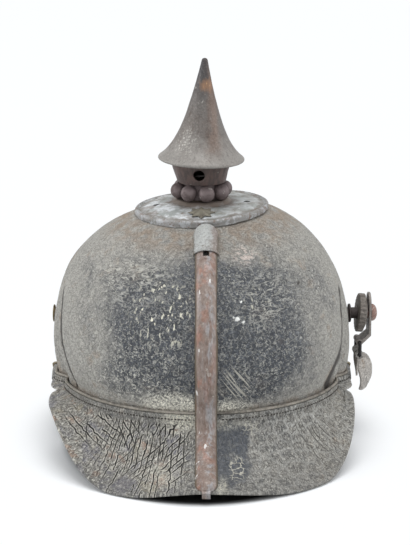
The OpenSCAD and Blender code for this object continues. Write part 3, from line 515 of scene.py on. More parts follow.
def spikeTint(f, colour, small):  # paler at the brim, dark at the tip and purple-brown on the neck
    height = f.axis("Z") + (f.cloud(0.012, 4, 0.6) - 0.5) * 0.016
    grain = f.cloud(0.0012, 3, 0.65)
    side = f.axis("X") + (f.cloud(0.008, 3, 0.6, 0.0, f.stretched((1, 1, 0.2))) - 0.5) * 0.012
    streak = (1 - (side + 0.0072).away().step(0.0008, 0.0062)) * height.step(0.186, 0.2)
    worn = 1 - f.vector("DISTANCE", f.place, (0.0095, 0.012, 0.1975)).step(0.002, 0.0125)
    neck = f.coats((80, 61, 56), ((60, 48, 45), small.step(0.4, 0.6)))
    far = f.vector("DISTANCE", f.place, (-0.0035, 0.003, 0.2315)) + (small - 0.5) * 0.012
    return f.coats(colour, ((150, 147, 142), (1 - height.step(0.186, 0.203)) * 0.6),
                   ((46, 46, 50), height.step(0.206, 0.25) * 0.88), ((116, 92, 78), streak * 0.5),
                   ((44, 42, 42), (1 - grain.step(0.34, 0.48)) * 0.3),
                   ((188, 184, 176), grain.step(0.56, 0.66) * (0.12 + f.axis("X").step(0, 0.02) * 0.16)),
                   ((196, 194, 187), worn * (0.14 + grain.step(0.54, 0.62) * 0.42)),
                   (neck, (1 - f.axis("Z").step(0.1815, 0.1835)) * 0.92),
                   ((142, 106, 78), (1 - far.step(0.0015, 0.006)) * 0.75),
                   ((208, 176, 128), (1 - far.step(0.0002, 0.0024)) * 0.7))


spineSide = 0.0028  # how far the spine stands beside the middle, in metres


def spineTint(f, colour, small):  # grey streaks, with a painted highlight down the middle, darker along both edges and white spots on the brown
    across = f.axis("X") + spineSide
    streaks = f.cloud(0.0035, 4, 0.65, 0.0, f.stretched((1, 1, 0.12))).step(0.48, 0.6)
    middle = 1 - (across + 0.0022).away().step(0.0006, 0.0034)
    brown = f.cloud(0.009, 4, 0.6, 0.3, f.stretched((1, 1, 0.4))).step(0.5, 0.62)
    grain = f.cloud(0.0012, 3, 0.65, 0.0, f.stretched((1, 1, 0.4)))
    edge = (across.away() + (small - 0.5) * 0.0012).step(0.0054, 0.0064)
    marks = f.cloud(0.0042, 2, 0.5, 0.0, f.stretched((1.3, 1, 0.4))).step(0.67, 0.7)
    # the grey streaks are strongest in a painted highlight stripe down the middle of the bar
    return f.coats(colour, ((152, 152, 154), streaks * (0.25 + middle * 0.5)),
                   ((150, 106, 88), brown * (0.3 + across.step(-0.004, 0.006) * 0.35)),
                   ((70, 56, 50), (1 - grain.step(0.34, 0.48)) * 0.4),
                   ((190, 186, 182), grain.step(0.56, 0.66) * 0.25),
                   ((84, 74, 56), edge * 0.8), ((218, 217, 214), marks * 0.85))


def coverTint(f, colour, small):  # brown down its right side, pale on the crest
    across = f.axis("X") + spineSide + (f.cloud(0.004, 4, 0.6) - 0.5) * 0.006
    grain = f.cloud(0.0012, 3, 0.65)
    return f.coats(colour, ((118, 98, 88), (1 - across.step(-0.0052, -0.0018)) * 0.6),
                   ((66, 62, 58), (1 - grain.step(0.34, 0.48)) * 0.4),
                   ((186, 188, 188), grain.step(0.54, 0.66) * 0.35),
                   ((90, 80, 66), across.away().step(0.0064, 0.0078) * 0.7))


def knobTint(f, colour, small):  # its stem is blackened, its head scratched
    out = f.vector("DOT_PRODUCT", f.place, tuple(knobAt[3])) - float(knobAt[0] @ knobAt[3]) * mm
    scratches = (1 - f.cells(0.0042, f.moved(0.002, 0.003)).step(0.02, 0.07)) * small.step(0.45, 0.6)
    return f.coats(colour, ((206, 198, 192), scratches * 0.7),
                   ((36, 33, 33), (1 - out.step(0.0105, 0.012)) * 0.92))


stitch = {"depth": 3.4, "pitch": 2.1, "long": 1.4, "thick": 0.4}
finishes = {
    "skull": wornLeather("SkullLeather", (48, 52, 59), (68, 72, 78), (162, 159, 152), (202, 200, 190)),
    "guard": barkLeather("GuardLeather", (90, 91, 91), (130, 128, 124), (146, 142, 134), (206, 202, 188)),
    "visor": wornLeather("VisorLeather", (66, 66, 68), (98, 98, 98), (148, 144, 137), (190, 188, 177)),
    "strap": wornLeather("StrapLeather", (116, 112, 109), (158, 155, 150), (182, 176, 169), (212, 208, 200)),
    "welt": plainLeather("WeltLeather", (84, 80, 74), (158, 152, 142), 0.0025),
    "liner": plainLeather("LinerLeather", (84, 62, 46), (132, 102, 76), 0.006),
    "band": plainLeather("SweatbandLeather", (62, 46, 36), (104, 78, 58), 0.006),
    "thread": plainLeather("WaxedThread", (30, 27, 25), (60, 54, 48), 0.001),
    "plate": oldMetal("GreyPlate", (152, 156, 154), (134, 130, 122), (112, 100, 88), 0.4, 0.45,
                      tint=plateTint),
    "spike": oldMetal("BrownSpike", (104, 99, 95), (92, 82, 76), (80, 68, 62), streak=0.3, rough=0.46,
                      tint=spikeTint),
    "pearl": oldMetal("PearlBrown", (112, 100, 100), (82, 68, 66), (52, 41, 39), 0.35, spots=0.7),
    "spine": oldMetal("SpineRustWithPaintedHighlight", (130, 116, 108), (118, 98, 88), (106, 84, 75), streak=0.2, spots=0.5,
                      rough=0.46, tint=spineTint),
    "cover": oldMetal("CoverGrey", (158, 160, 158), (138, 134, 130), (120, 108, 101), 0.35, 0.4,
                      tint=coverTint),
    "star": oldMetal("StarGrey", (112, 108, 96), (84, 78, 68), (62, 54, 47), 0.35),
    "knob": oldMetal("KnobRed", (140, 112, 102), (118, 90, 82), (92, 66, 59), 0.25, tint=knobTint),
    "lug": oldMetal("LugGrey", (136, 130, 125), (112, 105, 99), (92, 82, 76), rust=0.45),
    "rosette": oldMetal("RosetteMetal", (112, 106, 100), (82, 76, 70), (50, 44, 40)),
    "black": oldMetal("BlackSteel", (40, 38, 38), (26, 25, 26), (56, 42, 35), 0.5, spots=0.2, rough=0.35),
    "brass": oldMetal("DullBrass", (132, 118, 90), (100, 86, 66), (70, 60, 46), 0.5),
    "trim": oldMetal("TrimMetal", (140, 129, 107), (108, 96, 78), (78, 66, 54), 0.5, 0.45),
}
print("materials made")


# Skull: pressed leather with wrinkles, crackle and a crease down each side

spine = {
    "x": -2.8, "width": 13.6, "height": 4.4, "wall": 0.9, "slotFrom": 7.0, "slotTo": 26.8, "slotHalf": 1.95,
    "arc": 41.6, "clear": 8.5,
}
fittings = {  # the holes' radii and places
    "vent": 2.4, "knob": 3.72, "bush": 4.02, "eyelet": 2.72, "eyeletAt": (36.185, -103.548, 97.5),
    "eyeletAxis": (0.4472, -0.7883, 0.4227), "stud": 2.1, "studReach": 28.5, "studZ": 154.5,
}
tilt = {"slope": 0.0384, "from": 17, "lift": 0.9}
skullLook = {
    "columns": 450, "skirtRows": 4, "lowRows": 26, "crownRows": 74,
    "swell": 0.7, "wrinkle": 0.16, "groove": 0.16, "crease": 1.1,
    "patches": {
        "fleck": [(2.2, (24, 86, 106), (26, 50, 28)), (0.7, (-32, 86, 112), (16, 50, 12))],
        "splash": [(1, (-21.8, 84, 103.5), (3.4, 40, 2.2)), (1, (-25.5, 84, 101.5), (2, 40, 1.6)),
                   (1, (-19, 84, 105), (1.6, 40, 1.4)), (1, (-24, 84, 113), (1.3, 40, 1.1))],
        "cream": [(2, (17, 86, 48), (26, 50, 13)), (1.4, (-18, 86, 46), (18, 50, 9))],
        "scratch": [(2.2, (-21, 88, 63), (13, 50, 16))],
        "scrape": [(1.7, (-27, 72, 137), (12, 40, 7))],
    },
    "folds": [  # each crease as azimuths and heights, with its width and the darkness of its painted shade
        ([(81, 112), (77, 98), (74, 84), (71.5, 70), (68, 56), (66, 46)], 3.4, 1.0),
        ([(-80, 112), (-77.5, 98), (-76.5, 84), (-76, 70), (-72, 60), (-68.5, 53), (-67, 46)], 7, 0.9),
    ],
}


def touching(cells):  # the points at the corners of the chosen cells, on a grid closed round
    rows = np.pad(cells, ((1, 1), (0, 0)))
    rows = rows[:-1] | rows[1:]
    return rows | np.roll(rows, 1, 1)


def holesIn(grid, holes):  # cells inside a round hole are dropped and its rim drawn to a circle
    middle = (grid[:-1] + grid[1:]) / 2
    middle = (middle + np.roll(middle, -1, 1)) / 2
    keep = np.ones(middle.shape[:2], bool)
    for centre, axis, radius in holes:
        axis = unit(np.array(axis, float))
        off = middle - centre
        along = off @ axis
        wide = np.linalg.norm(off - along[..., None] * axis, axis=-1)
        gone = (wide < radius) & (np.abs(along) < 12)
        keep &= ~gone
        rim = touching(gone) & touching(keep)
        off = grid[rim] - centre
        along = (off @ axis)[:, None] * axis
        grid[rim] = centre + along + unit(off - along) * radius
    return keep


def skullGrid(inset):
    a = (-180 + 360 * np.arange(skullLook["columns"]) / skullLook["columns"])[None]
    x, y, _ = np.moveaxis(skullPoint(a, -1, inset), -1, 0)
    heights = np.linspace(skull["rimZ"], skull["seamZ"], skullLook["skirtRows"], endpoint=False)
    low = np.linspace(-1, 0, skullLook["lowRows"], endpoint=False)[:, None]
    top = np.degrees(np.arccos((skull["crownHole"] / ovalAt(a, inset)) ** (roundnessAt(a) / 2))) / 90
    share = np.linspace(0, 1, skullLook["crownRows"])[:, None]
    skirt, upper = together(x, y, heights[:, None]), skullPoint(a, share ** 0.92 * top, inset)
    return np.concatenate([skirt, skullPoint(a, low, inset), upper]), a


def crownAt(r):  # the skull's height at a distance behind its axis
    n = roundnessAt(0.0)
    return skull["beltZ"] + skull["crownRise"] * held(1 - (r / ovalAt(0.0)) ** n) ** (1 / n)


def coverArc():  # the spine's arc, through three points of the skull as in the frame
    plate = skull["plateRadius"]
    p = [np.array([r, crownAt(r)]) for r in (plate + 1, plate + 22, plate + 40)]
    a, b = p[1] - p[0], p[2] - p[0]
    k = 2 * (a[0] * b[1] - a[1] * b[0])
    centre = p[0] + np.array([b[1] * (a @ a) - a[1] * (b @ b), a[0] * (b @ b) - b[0] * (a @ a)]) / k
    radius = np.linalg.norm(p[0] - centre) + 2 * skull["seatGap"]
    return centre, radius, math.asin((plate + 0.7 - centre[0]) / radius)


arcCentre, arcRadius, arcStart = coverArc()


def arcPoint(u):
    t = arcStart + u / arcRadius
    return together(arcCentre[0] + arcRadius * np.sin(t), arcCentre[1] + arcRadius * np.cos(t))


def tilted(p, lift=0):  # the plate and the leather under it sit a little lower at the left
    r = np.hypot(p[..., 0], p[..., 1])
    fall = -tilt["slope"] * p[..., 0] * smooth((r - tilt["from"]) / 12) * smooth((84 - r) / 36)
    fall = fall * (p[..., 2] > 110) + lift * smooth((-p[..., 0] - 4) / 24) * smooth((r - 28) / 8)
    return p + together(0, 0, fall)


def skullHoles():  # centre, axis and radius of each, as in the frame
    holes = []
    for u in (spine["slotFrom"] + 4, spine["slotFrom"] + 12):
        t = arcStart + u / arcRadius
        holes.append(((spine["x"], *arcPoint(u)), (0, math.sin(t), math.cos(t)), fittings["vent"]))
    holes += [(knobAt[0], knobAt[3], fittings["knob"]), (bushAt[0], bushAt[3], fittings["bush"])]
    for mirror in ([-1, 1, 1], [1, 1, 1]):
        place, axis = [np.array(fittings[key]) * mirror for key in ("eyeletAt", "eyeletAxis")]
        holes.append((place, axis, fittings["eyelet"]))
    for turn in (0, 90, 180, 270):
        place = fittings["studReach"] * sind(turn), fittings["studReach"] * cosd(turn), fittings["studZ"]
        holes.append((place, (0, 0, 1), fittings["stud"]))
    return holes


def nearFittings(p):  # 1 where something is seated on the leather
    r = np.hypot(p[..., 0], p[..., 1])
    plate = smooth((50 - r) / 6) * (p[..., 2] > 130)
    bar = smooth((12 - np.abs(p[..., 0] - spine["x"])) / 4) * (p[..., 1] > 0)
    sides = [smooth((radius + 9 - np.linalg.norm(p - centre, axis=-1)) / 6)
             for centre, _, radius in skullHoles()[2:6]]
    return np.max([plate, bar, *sides, smooth((skull["seamZ"] + 3 - p[..., 2]) / 3)], axis=0)


def skullMarks(p):  # where dust, pale crackle, flecks, stains and scratches lie, with painted sheen lightening the top and sides
    x, y, z = np.moveaxis(p, -1, 0)
    rear, drift = smooth(y / 20), noise(p, 26, 71, 3)
    top = smooth((z - 116 + 8 * drift) / 30)
    side = smooth((np.abs(x + 2) - 44 + 6 * drift) / 40)
    ends = smooth((60 - z) / 16) * 0.4 + smooth(-y / 60) * 0.35
    dark = spots(p, (1, (24, 90, 104), (52, 60, 38)), (1, (-30, 90, 90), (46, 60, 50)),
                 (0.6, (-20, 86, 60), (26, 50, 22)))
    beside = smooth((19 - np.abs(x - spine["x"])) / 9) * rear * smooth((140 - z) / 26) * smooth((z - 50) / 12)
    pale = 0.1 - 0.6 * beside + spots(
        p, (0.75, (34, 86, 66), (66, 60, 48)), (0.35, (-40, 86, 76), (38, 60, 56)),
        (0.7, (20, 86, 49), (34, 40, 11)), (0.7, (-18, 86, 50), (22, 40, 12)),
        (0.5, (-22, 80, 124), (30, 40, 14)))
    wave = spots(p, (1.5, (46, 76, 125), (44, 60, 28)), (1, (-42, 76, 112), (36, 60, 30)))
    stain = smooth((50 - z) / 6) * 0.8 + smooth(1 - np.abs(np.hypot(x, y) - 50) / 18) * (z > 120) * 0.9
    marks = {key: held(spots(p, *patches)) for key, patches in skullLook["patches"].items()}
    # the top and both sides are lighter, partly as dust and partly as painted sheen from the lamps
    marks["dust"] = held(0.3 + 0.55 * top + 0.62 * side + ends - 0.85 * held(dark) * rear - 0.5 * beside)
    marks["pale"] = held(pale) * (0.4 + 0.6 * rear)
    marks["wave"], marks["stain"] = np.minimum(wave, 0.9), held(stain)
    return marks


def sideFolds(a, p):  # the creases down both sides of the back half, as dents and as painted shade
    shape, dark = np.zeros(p.shape[:2]), np.zeros(p.shape[:2])
    scale = np.array([1.6, 1])  # millimetres to a degree and to a millimetre
    place = together(a, p[..., 2])[..., None, :] * scale
    for line, wide, depth in skullLook["folds"]:
        line = np.array(line) * scale
        off, along = place - line[:-1], np.diff(line, axis=0)
        t = held((off * along).sum(-1) / (along ** 2).sum(-1))
        far = np.linalg.norm(off - t[..., None] * along, axis=-1).min(-1)
        here = smooth((line[0, 1] - p[..., 2]) / 22)
        ragged = wide * (0.3 + 0.6 * here) * (0.95 + 0.35 * noise(p, 7, 121, 2))
        shape = np.maximum(shape, smooth(1.4 - far / wide / 1.2) * here)
        # painted shade along each crease, darkest at its core and fading towards its upper end
        dark = np.maximum(dark, np.exp(-(far / ragged) ** 2) * smooth(here * 3) * depth)
    return shape, dark


def distanceTo(field, grid):  # how far each point is from the field's zero line, in millimetres
    slope = [np.gradient(field, axis=k) / np.maximum(np.linalg.norm(np.gradient(grid, axis=k), axis=-1), 1e-3)
             for k in (0, 1)]
    return field / np.maximum(np.hypot(*slope), 0.03)


def makeSkull():
    outer, a = skullGrid(0)
    inner, _ = skullGrid(skull["leather"])
    normal, free, marks = gridNormals(outer, 10, True), 1 - nearFittings(outer), skullMarks(outer)
    swell = skullLook["swell"] * (noise(outer, 42, 3, 2) - 0.55) * free
    ripples = noise(outer * [1, 1, 2.6], 7.5, 11, 3) * (0.5 + spots(outer, (1, (38, 80, 106), (34, 60, 26))))
    bent = outer + together(*[noise(outer, 12, 5 + k) for k in range(3)]) * 2
    groove = smooth(1 - np.abs(distanceTo(noise(bent, 8.5, 21, 2), outer)) / 0.8)
    groove = groove * smooth(noise(outer, 13, 25) * 1.4 + 0.3)
    shift = swell + (skullLook["wrinkle"] * (ripples - 0.4) - skullLook["groove"] * groove) * free
    dents, dark = sideFolds(a, outer)
    inner = inner + normal * swell[..., None]
    outer = outer + normal * (shift - skullLook["crease"] * dents)[..., None]
    keep = holesIn(outer, skullHoles())
    holesIn(inner, skullHoles())
    # the leather under the plate is painted black, as shade seen down the vent holes
    underPlateShade = (np.hypot(outer[..., 0], outer[..., 1]) < 37) & (outer[..., 2] > 140)
    spot = smooth(1 - np.linalg.norm(outer[..., [0, 2]] - [-59.7, 118], axis=-1) / 2)
    # this mark is painted shade down the side creases and under the plate, with a faint darkening along the
    # grooves and one small dark spot
    marks["crackAndShade"] = np.max([0.2 * groove, dark, underPlateShade, spot], axis=0)
    mesh = shellMesh(tilted(outer), tilted(inner), True, keep, marks)
    addPiece("skullLeather", mesh, "skull_leather", "skull", "skull")


makeSkull()


# Peaks: the neck guard and the front visor, sewn round the skull's skirt

peaks = {
    "steps": 64, "lipSteps": 8, "bandSteps": 5, "edgeStart": 1.2, "lip": 7.2, "guard": 2.6, "visor": 2.4,
    "girth": 92, "ends": 95,
}


def fromSkull(a, away, z, s=-1):  # points by azimuth, distance out from the skull and height
    base, out = skullPoint(a, s), outward(a)
    return together(base[..., 0] + away * out[..., 0], base[..., 1] + away * out[..., 1], z)


def lipOf(out, edgeZ):  # the length of a peak's straight rim
    return np.minimum(peaks["lip"], 0.45 * np.hypot(out, skull["rimZ"] - edgeZ))


def peakUnder(out, edgeZ):  # the under side as distance and height, one row per azimuth
    gap, turn = skull["layerGap"], skull["rimZ"] + 1
    knee, edge = together(gap + 0.5 * out, between(turn, edgeZ, 0.72)), together(gap + out, edgeZ)
    last = edge - lipOf(out, edgeZ)[:, None] * unit(edge - knee)
    p0, p1 = together(gap + 0 * out, turn), together(gap + 0.06 * out, between(turn, edgeZ, 0.4))
    p2 = between(knee, last, 0.15)
    t = np.linspace(0, 1, peaks["steps"])[:, None, None]
    curve = (1 - t) ** 3 * p0 + 3 * t * (1 - t) ** 2 * p1 + 3 * t * t * (1 - t) * p2 + t ** 3 * last
    heights = np.linspace(skull["seamZ"], turn, peaks["bandSteps"], endpoint=False)
    band = together(gap + 0 * out, heights[:, None])
    share = np.linspace(0, 1, peaks["lipSteps"] + 1)[1:, None, None]
    return np.concatenate([band, curve, between(last, edge, share)])  # rows, azimuths, 2


def peakGrids(a, under, thickness):
    way = unit(np.gradient(under, axis=0))
    normal = together(-way[..., 1], way[..., 0])
    length = runOf(under)
    left = length[-1] - length
    half = (thickness / 2 * rounded(1 - left / peaks["edgeStart"], 0.12))[..., None]
    middle = under + normal * thickness / 2
    outer, inner = [fromSkull(a, *np.moveaxis(side, -1, 0))
                    for side in (middle + normal * half, middle - normal * half)]
    return outer, inner, length, left


def guardEdge(a):
    start, end, arch = np.where(a > 0, 26, 39), np.where(a > 0, 63, 79), np.where(a > 0, 23, 32)
    return 5.5 * (1 - smooth(np.abs(a) / arch)) + skull["sideZ"] * smooth((np.abs(a) - start) / (end - start))


def guardReach(a):
    return 4 + 38 * held(cosd(a)) ** 1.1


def cracks(grid, chart, slant, pitch, reach, seed, part):  # near-parallel cracks, each broken off by noise
    across = chart[..., 0] * np.cos(slant) + chart[..., 1] * np.sin(slant)
    along = chart[..., 1] * np.cos(slant) - chart[..., 0] * np.sin(slant)
    lie = together(across / pitch, along / reach, seed)
    phase = lie[..., 0] + 0.42 * noise(lie / 2.2, 1, seed, 2) + 0.07 * noise(lie * [1, 5, 1], 1, seed + 2)
    return distanceTo(np.sin(math.pi * phase), grid), smooth((noise(lie, 1, seed + 5) + part) * 3)


def makeGuard():
    a = np.linspace(-peaks["ends"], peaks["ends"], 560)
    outer, inner, length, left = peakGrids(a, peakUnder(guardReach(a), guardEdge(a)), peaks["guard"])
    normal, girth = gridNormals(outer, 40), np.radians(a) * peaks["girth"]
    chart = together(girth, length, 0.5)
    bark = smooth(a / 12 + 0.1) * smooth((97 - a) / 14) * smooth((length - 5) / 4)
    centre, feather, upper, rim, far = [spots(outer, (1, *patch)) for patch in (
        ((34, 104, 24), (42, 60, 36)), ((15, 112, 30), (22, 60, 28)), ((58, 92, 35), (32, 60, 22)),
        ((66, 84, 34), (30, 60, 18)), ((-72, 72, 26), (34, 50, 34)))]
    turned, spread = np.where(a > 0, 0.72, 0.22), np.where(a > 0, 4.6, 2.8)
    families = [((0.04, 2.9, 9, 41, 0.75), bark * held(0.25 + 1.8 * centre)),
                ((turned, spread, 10, 47, 0.1), bark * held(0.1 + 1.5 * upper) + 0.55 * far),
                ((-0.55, 3.6, 8, 53, 0.3), bark * held(0.1 + 1.8 * feather + 0.6 * centre)),
                ((1.2, 5, 12, 59, 0.15), bark * held(0.15 + 1.3 * rim))]
    marks, cut = {"bark": bark, "girth": girth, "down": length}, 0
    for k, (family, share) in enumerate(families):
        line, mask = cracks(outer, chart, *family)
        strength = held(mask * share)
        marks[f"line{k}"], marks[f"cut{k}"] = line, strength
        cut = np.maximum(cut, smooth(1 - np.abs(line) / 0.65) * strength)
    ridge = noise(together(girth / 1.5, length / 5, 0.5), 1, 67, 2)
    swell = 0.5 * (noise(chart, 30, 71, 2) - 0.4) * smooth(left / 6) * smooth((length - 8) / 8)
    shift = swell - 0.4 * cut + 0.08 * ridge * (0.4 + bark)
    bar = smooth((10.5 - np.abs(outer[..., 0] - spine["x"])) / 2.5)
    shift = np.where(bar > 0, np.minimum(shift, 0) * (1 - bar), shift)
    slate = held(spots(outer, (3, (-17, 110, 29), (17, 60, 16)), (1.6, (-17, 110, 16), (19, 60, 14))))
    marks["slate"] = smooth(slate * 1.5 - 0.25 + 0.5 * noise(chart, 6, 75, 2))
    marks["vein"] = held(spots(outer, (1, (-30, 112, 35), (12, 60, 9)), (1, (-22, 112, 16), (9, 60, 9)),
                               (1, (-13, 114, 7), (7, 40, 9)), (0.5, (-14, 112, 40), (14, 60, 5))))
    outer = outer + normal * shift[..., None]
    inner = inner + normal * (swell * (1 - bar))[..., None]
    for grid in (outer, inner):
        grid[..., 2] = np.maximum(grid[..., 2], 0)
    marks["pale"] = held(0.1 + spots(outer, (1.1, (-64, 92, 36), (26, 60, 16))) + 0.4 * (a < -4))
    # foot lowers the dust mark towards the guard's lower edge, as painted shade there
    sides, foot = smooth((np.abs(outer[..., 0]) - 56) / 25), smooth((14 - left) / 10)
    marks["dust"] = 0.4 + 0.12 * bark + 0.32 * sides - 0.2 * foot
    marks["cream"] = held(spots(outer, (2.4, (12, 108, 41), (24, 40, 11)), (1, (-16, 112, 37), (20, 40, 6)),
                                (0.5, (24, 114, 12), (18, 40, 7)), (0.9, (-12, 114, 8), (6, 40, 7))))
    mesh = shellMesh(outer, inner, marks=marks)
    addPiece("guardLeather", mesh, "guard_leather", "guard", "neck_guard")
    return outer, length


guardOuter, guardLength = makeGuard()
visorLift = 1.4 * (0.25 + 0.7)  # room for the trim under the visor's edge


def visorEdge(a):
    return visorLift + (skull["sideZ"] - visorLift) * smooth((150 - np.abs(a)) / 42)


def visorReach(a):
    return 4 + 40 * held(-cosd(a)) ** 1.6


def fromBack(turn):  # azimuths past 180 degrees counted from the other side
    return np.where(turn > 180, turn - 360, turn)


def makeTrim(turn, under):  # sheet metal folded over the visor's edge
    inside = (turn > 110) & (turn < 250)
    a, edge, before = fromBack(turn)[inside], under[-1, inside], under[-2, inside]
    way = unit(edge - before).T
    back = -np.minimum(6, 0.8 * lipOf(visorReach(a), visorEdge(a)))
    g, w, t = 0.25, 0.95, peaks["visor"]  # gap, outer face and the leather between
    corners = [(between(back, w - 0.6, share), t + w) for share in np.linspace(0, 1, 7)]
    corners += [(w - 0.18, t + w - 0.2), (w, t + w - 0.6), (w, 0.6 - w), (w - 0.18, 0.2 - w)]
    corners += [(between(w - 0.6, back, share), -w) for share in np.linspace(0, 1, 5)]
    corners += [(back, -g), (g, -g), (g, t + g), (back, t + g)]
    loops = np.stack([fromSkull(a, *(edge.T + along * way + up * np.array([-way[1], way[0]])))
                      for along, up in corners], 1)
    loops = loops + outward(a)[:, None] * noise(loops, 12, 101, 2)[..., None] * 0.12
    addPiece("visorTrim", tubeMesh(loops, 30), "brass_fitting", "trim", "visor_trim")


def makeVisor():
    turn = np.linspace(peaks["ends"] + 1, 359 - peaks["ends"], 460)
    a = fromBack(turn)
    under = peakUnder(visorReach(a), visorEdge(a))
    outer, inner, length, left = peakGrids(a, under, peaks["visor"])
    chart = together(np.radians(turn) * 100, length, 0.5)
    wander = together(*[noise(chart, 14, 81 + k, 2) for k in range(3)]) * [2.5, 2.5, 0]
    hair = smooth(1 - np.abs(distanceTo(noise(chart + wander, 5, 91, 2), outer)) / 0.6)
    hair = hair * smooth(noise(chart, 12, 93) * 1.5 + 0.4)
    free = smooth((left - 7) / 3) * smooth((length - 7) / 3)
    shift = 0.5 * (noise(chart, 26, 95, 2) - 0.4) * free - 0.14 * hair * free
    outer = outer + gridNormals(outer, 40) * shift[..., None]
    dust = 0.5 + 0.3 * noise(chart, 40, 97) * free
    marks = {"crackAndShade": 0.45 * hair * free, "pale": 0.15, "wave": 0.4, "dust": dust}
    mesh = shellMesh(outer, inner, marks=marks)
    addPiece("visorLeather", mesh, "visor_leather", "visor", "front_visor")
    makeTrim(turn, under)
    return outer, length


visorOuter, visorLength = makeVisor()


# Welts and stitches in the seam

def makeWelt(name, turn, node):
    r, gap, sides = 0.95, skull["layerGap"], 12
    wobble = noise(together(np.radians(turn) * peaks["girth"], 0, 0), 5, 7, 2)
    radius = r * (0.95 + 0.05 * wobble)[:, None]
    t = -2 * np.pi * np.arange(sides) / sides
    push, rise = gap + r + radius * np.cos(t), skull["seamZ"] + gap + r + radius * np.sin(t)
    loops = fromSkull(fromBack(turn)[:, None], push, rise, -1 + (2 * r + gap) / skull["beltRise"])
    addPiece(name, tubeMesh(loops), "welt_leather", "welt", node)


def makeStitches(name, grid, length):
    row = np.argmin(np.abs(length[:, length.shape[1] // 2] - stitch["depth"]))
    line = grid[row]
    run, away, rng = runOf(line), unit(line[:, :2]), np.random.default_rng(5)
    caps = [[0, 7, 6, 5], [0, 5, 4, 3], [0, 3, 2, 1], [48, 49, 50, 51], [48, 51, 52, 53], [48, 53, 54, 55]]
    quads = np.concatenate([cellsOf(7, 8, True).reshape(-1, 4), caps])
    turns, pieces = 2 * np.pi * np.arange(8) / 8, []  # a stitch has seven rings of eight points

    def at(values, d):
        return np.array([np.interp(d, run, column) for column in values.T])

    for d in np.arange(2, run[-1] - 2, stitch["pitch"]):
        centre = at(line, d)
        if centre[1] > 0 and abs(centre[0] - spine["x"]) < spine["clear"]:  # none under the spine
            continue
        way, out = unit(at(line, d + 0.5) - at(line, d - 0.5)), np.append(at(away, d), 0)
        up = unit(np.cross(way, out))
        way = way + up * rng.uniform(-0.12, 0.12)
        half = stitch["long"] / 2 * rng.uniform(0.85, 1.1)
        loops = []
        for s in np.linspace(-1, 1, 7):
            fat = stitch["thick"] * math.sqrt(max(0.05, 1 - s ** 4))
            mid = centre + way * s * half + out * (0.18 - 0.45 * s ** 4)
            loops.append([mid + fat * (math.cos(t) * out * 0.8 + math.sin(t) * up) for t in turns])
        pieces.append((np.reshape(loops, (-1, 3)), quads))
    addPiece(name, joined(pieces), "welt_leather", "thread")


makeWelt("rearWelt", np.linspace(-peaks["ends"], peaks["ends"], 420), "rear_welt")
makeWelt("frontWelt", np.linspace(peaks["ends"] + 1, 359 - peaks["ends"], 380), "front_welt")
makeStitches("rearStitches", guardOuter, guardLength)
makeStitches("frontStitches", visorOuter, visorLength)


# Rear spine: a half-round bar with its slot and prong

def spinePath():
    stops = [spine["slotFrom"], spine["slotTo"], spine["arc"]]
    top = arcPoint(np.concatenate([np.linspace(0, 1, 9) ** 1.6 * stops[0], np.linspace(*stops[:2], 26)[1:],
                                   np.linspace(*stops[1:], 22)[1:]]))
    s = between(shareAt(0.0, top[-1, 1]), -0.82, np.linspace(0, 1, 75)[1:])
    down = stepAside(skullPoint(0.0, s)[:, 1:], 0.5)
    turn = np.array([-math.degrees(math.asin(-spine["x"] / (skull["half"] - skull["pinch"])))])
    seamY = float(skullPoint(turn, -1)[0, 1])
    out = skull["layerGap"] + peaks["guard"] + 0.5
    seam = np.array([[seamY + out + 0.2, skull["seamZ"] + 2], [seamY + out, skull["seamZ"] - 2]])
    under = peakUnder(guardReach(turn), guardEdge(turn))[:, 0]
    guard = stepAside(under, peaks["guard"] + skull["seatGap"])[peaks["bandSteps"] + 7:] + [seamY, 0]
    path, fixed = np.concatenate([top, down, seam, guard]), len(top)
    for _ in range(10):  # eases the corners below the arc
        path[fixed + 1:-3] = (path[fixed:-4] + 2 * path[fixed + 1:-3] + path[fixed + 2:-2]) / 4
    return path


def makeSpine(path):
    way = unit(np.gradient(path, axis=0))
    across, rise = -way[:, None, 1], way[:, None, 0]
    run = runOf(path)
    ends = rounded(1 - (run[-1] - run) / 6.5, 0.12) * rounded(1 - run / 5.5, 0.2)
    half, high, wall = spine["width"] / 2, spine["height"], spine["wall"]
    slotAngle = math.degrees(math.acos(spine["slotHalf"] / half))
    angles = np.concatenate([np.linspace(0, slotAngle, 13), np.linspace(slotAngle, 180 - slotAngle, 6)[1:],
                             np.linspace(180 - slotAngle, 180, 13)[1:]])
    edgeWave = 0.22 * noise(together(run, 0, 0), 9, 5, 2) * smooth((run - 44) / 4)

    def section(wide, tall):
        x, up = spine["x"] + (wide * ends)[:, None] * cosd(angles), (tall * ends)[:, None] * sind(angles)
        return together(x, path[:, None, 0] + up * across, path[:, None, 1] + up * rise)

    outer, inner = section(half + edgeWave, high), section(half - wall, high - wall)
    lump = noise(outer, 9, 13, 3) * 0.14 + noise(outer, 2.4, 17, 2) * 0.05
    lump = lump * smooth((run - spine["arc"] - 1) / 6)[:, None]
    outer = outer + together(cosd(angles), sind(angles) * across, sind(angles) * rise) * lump[..., None]
    middle, gap = (run[:-1] + run[1:]) / 2, (angles[:-1] + angles[1:]) / 2
    slot = ((middle > spine["slotFrom"]) & (middle < spine["slotTo"]))[:, None]
    mesh = shellMesh(outer, inner, keep=~(slot & (np.abs(gap - 90) < 90 - slotAngle)))
    addPiece("rearSpine", mesh, "rusty_metal", "spine", "rear_spine")


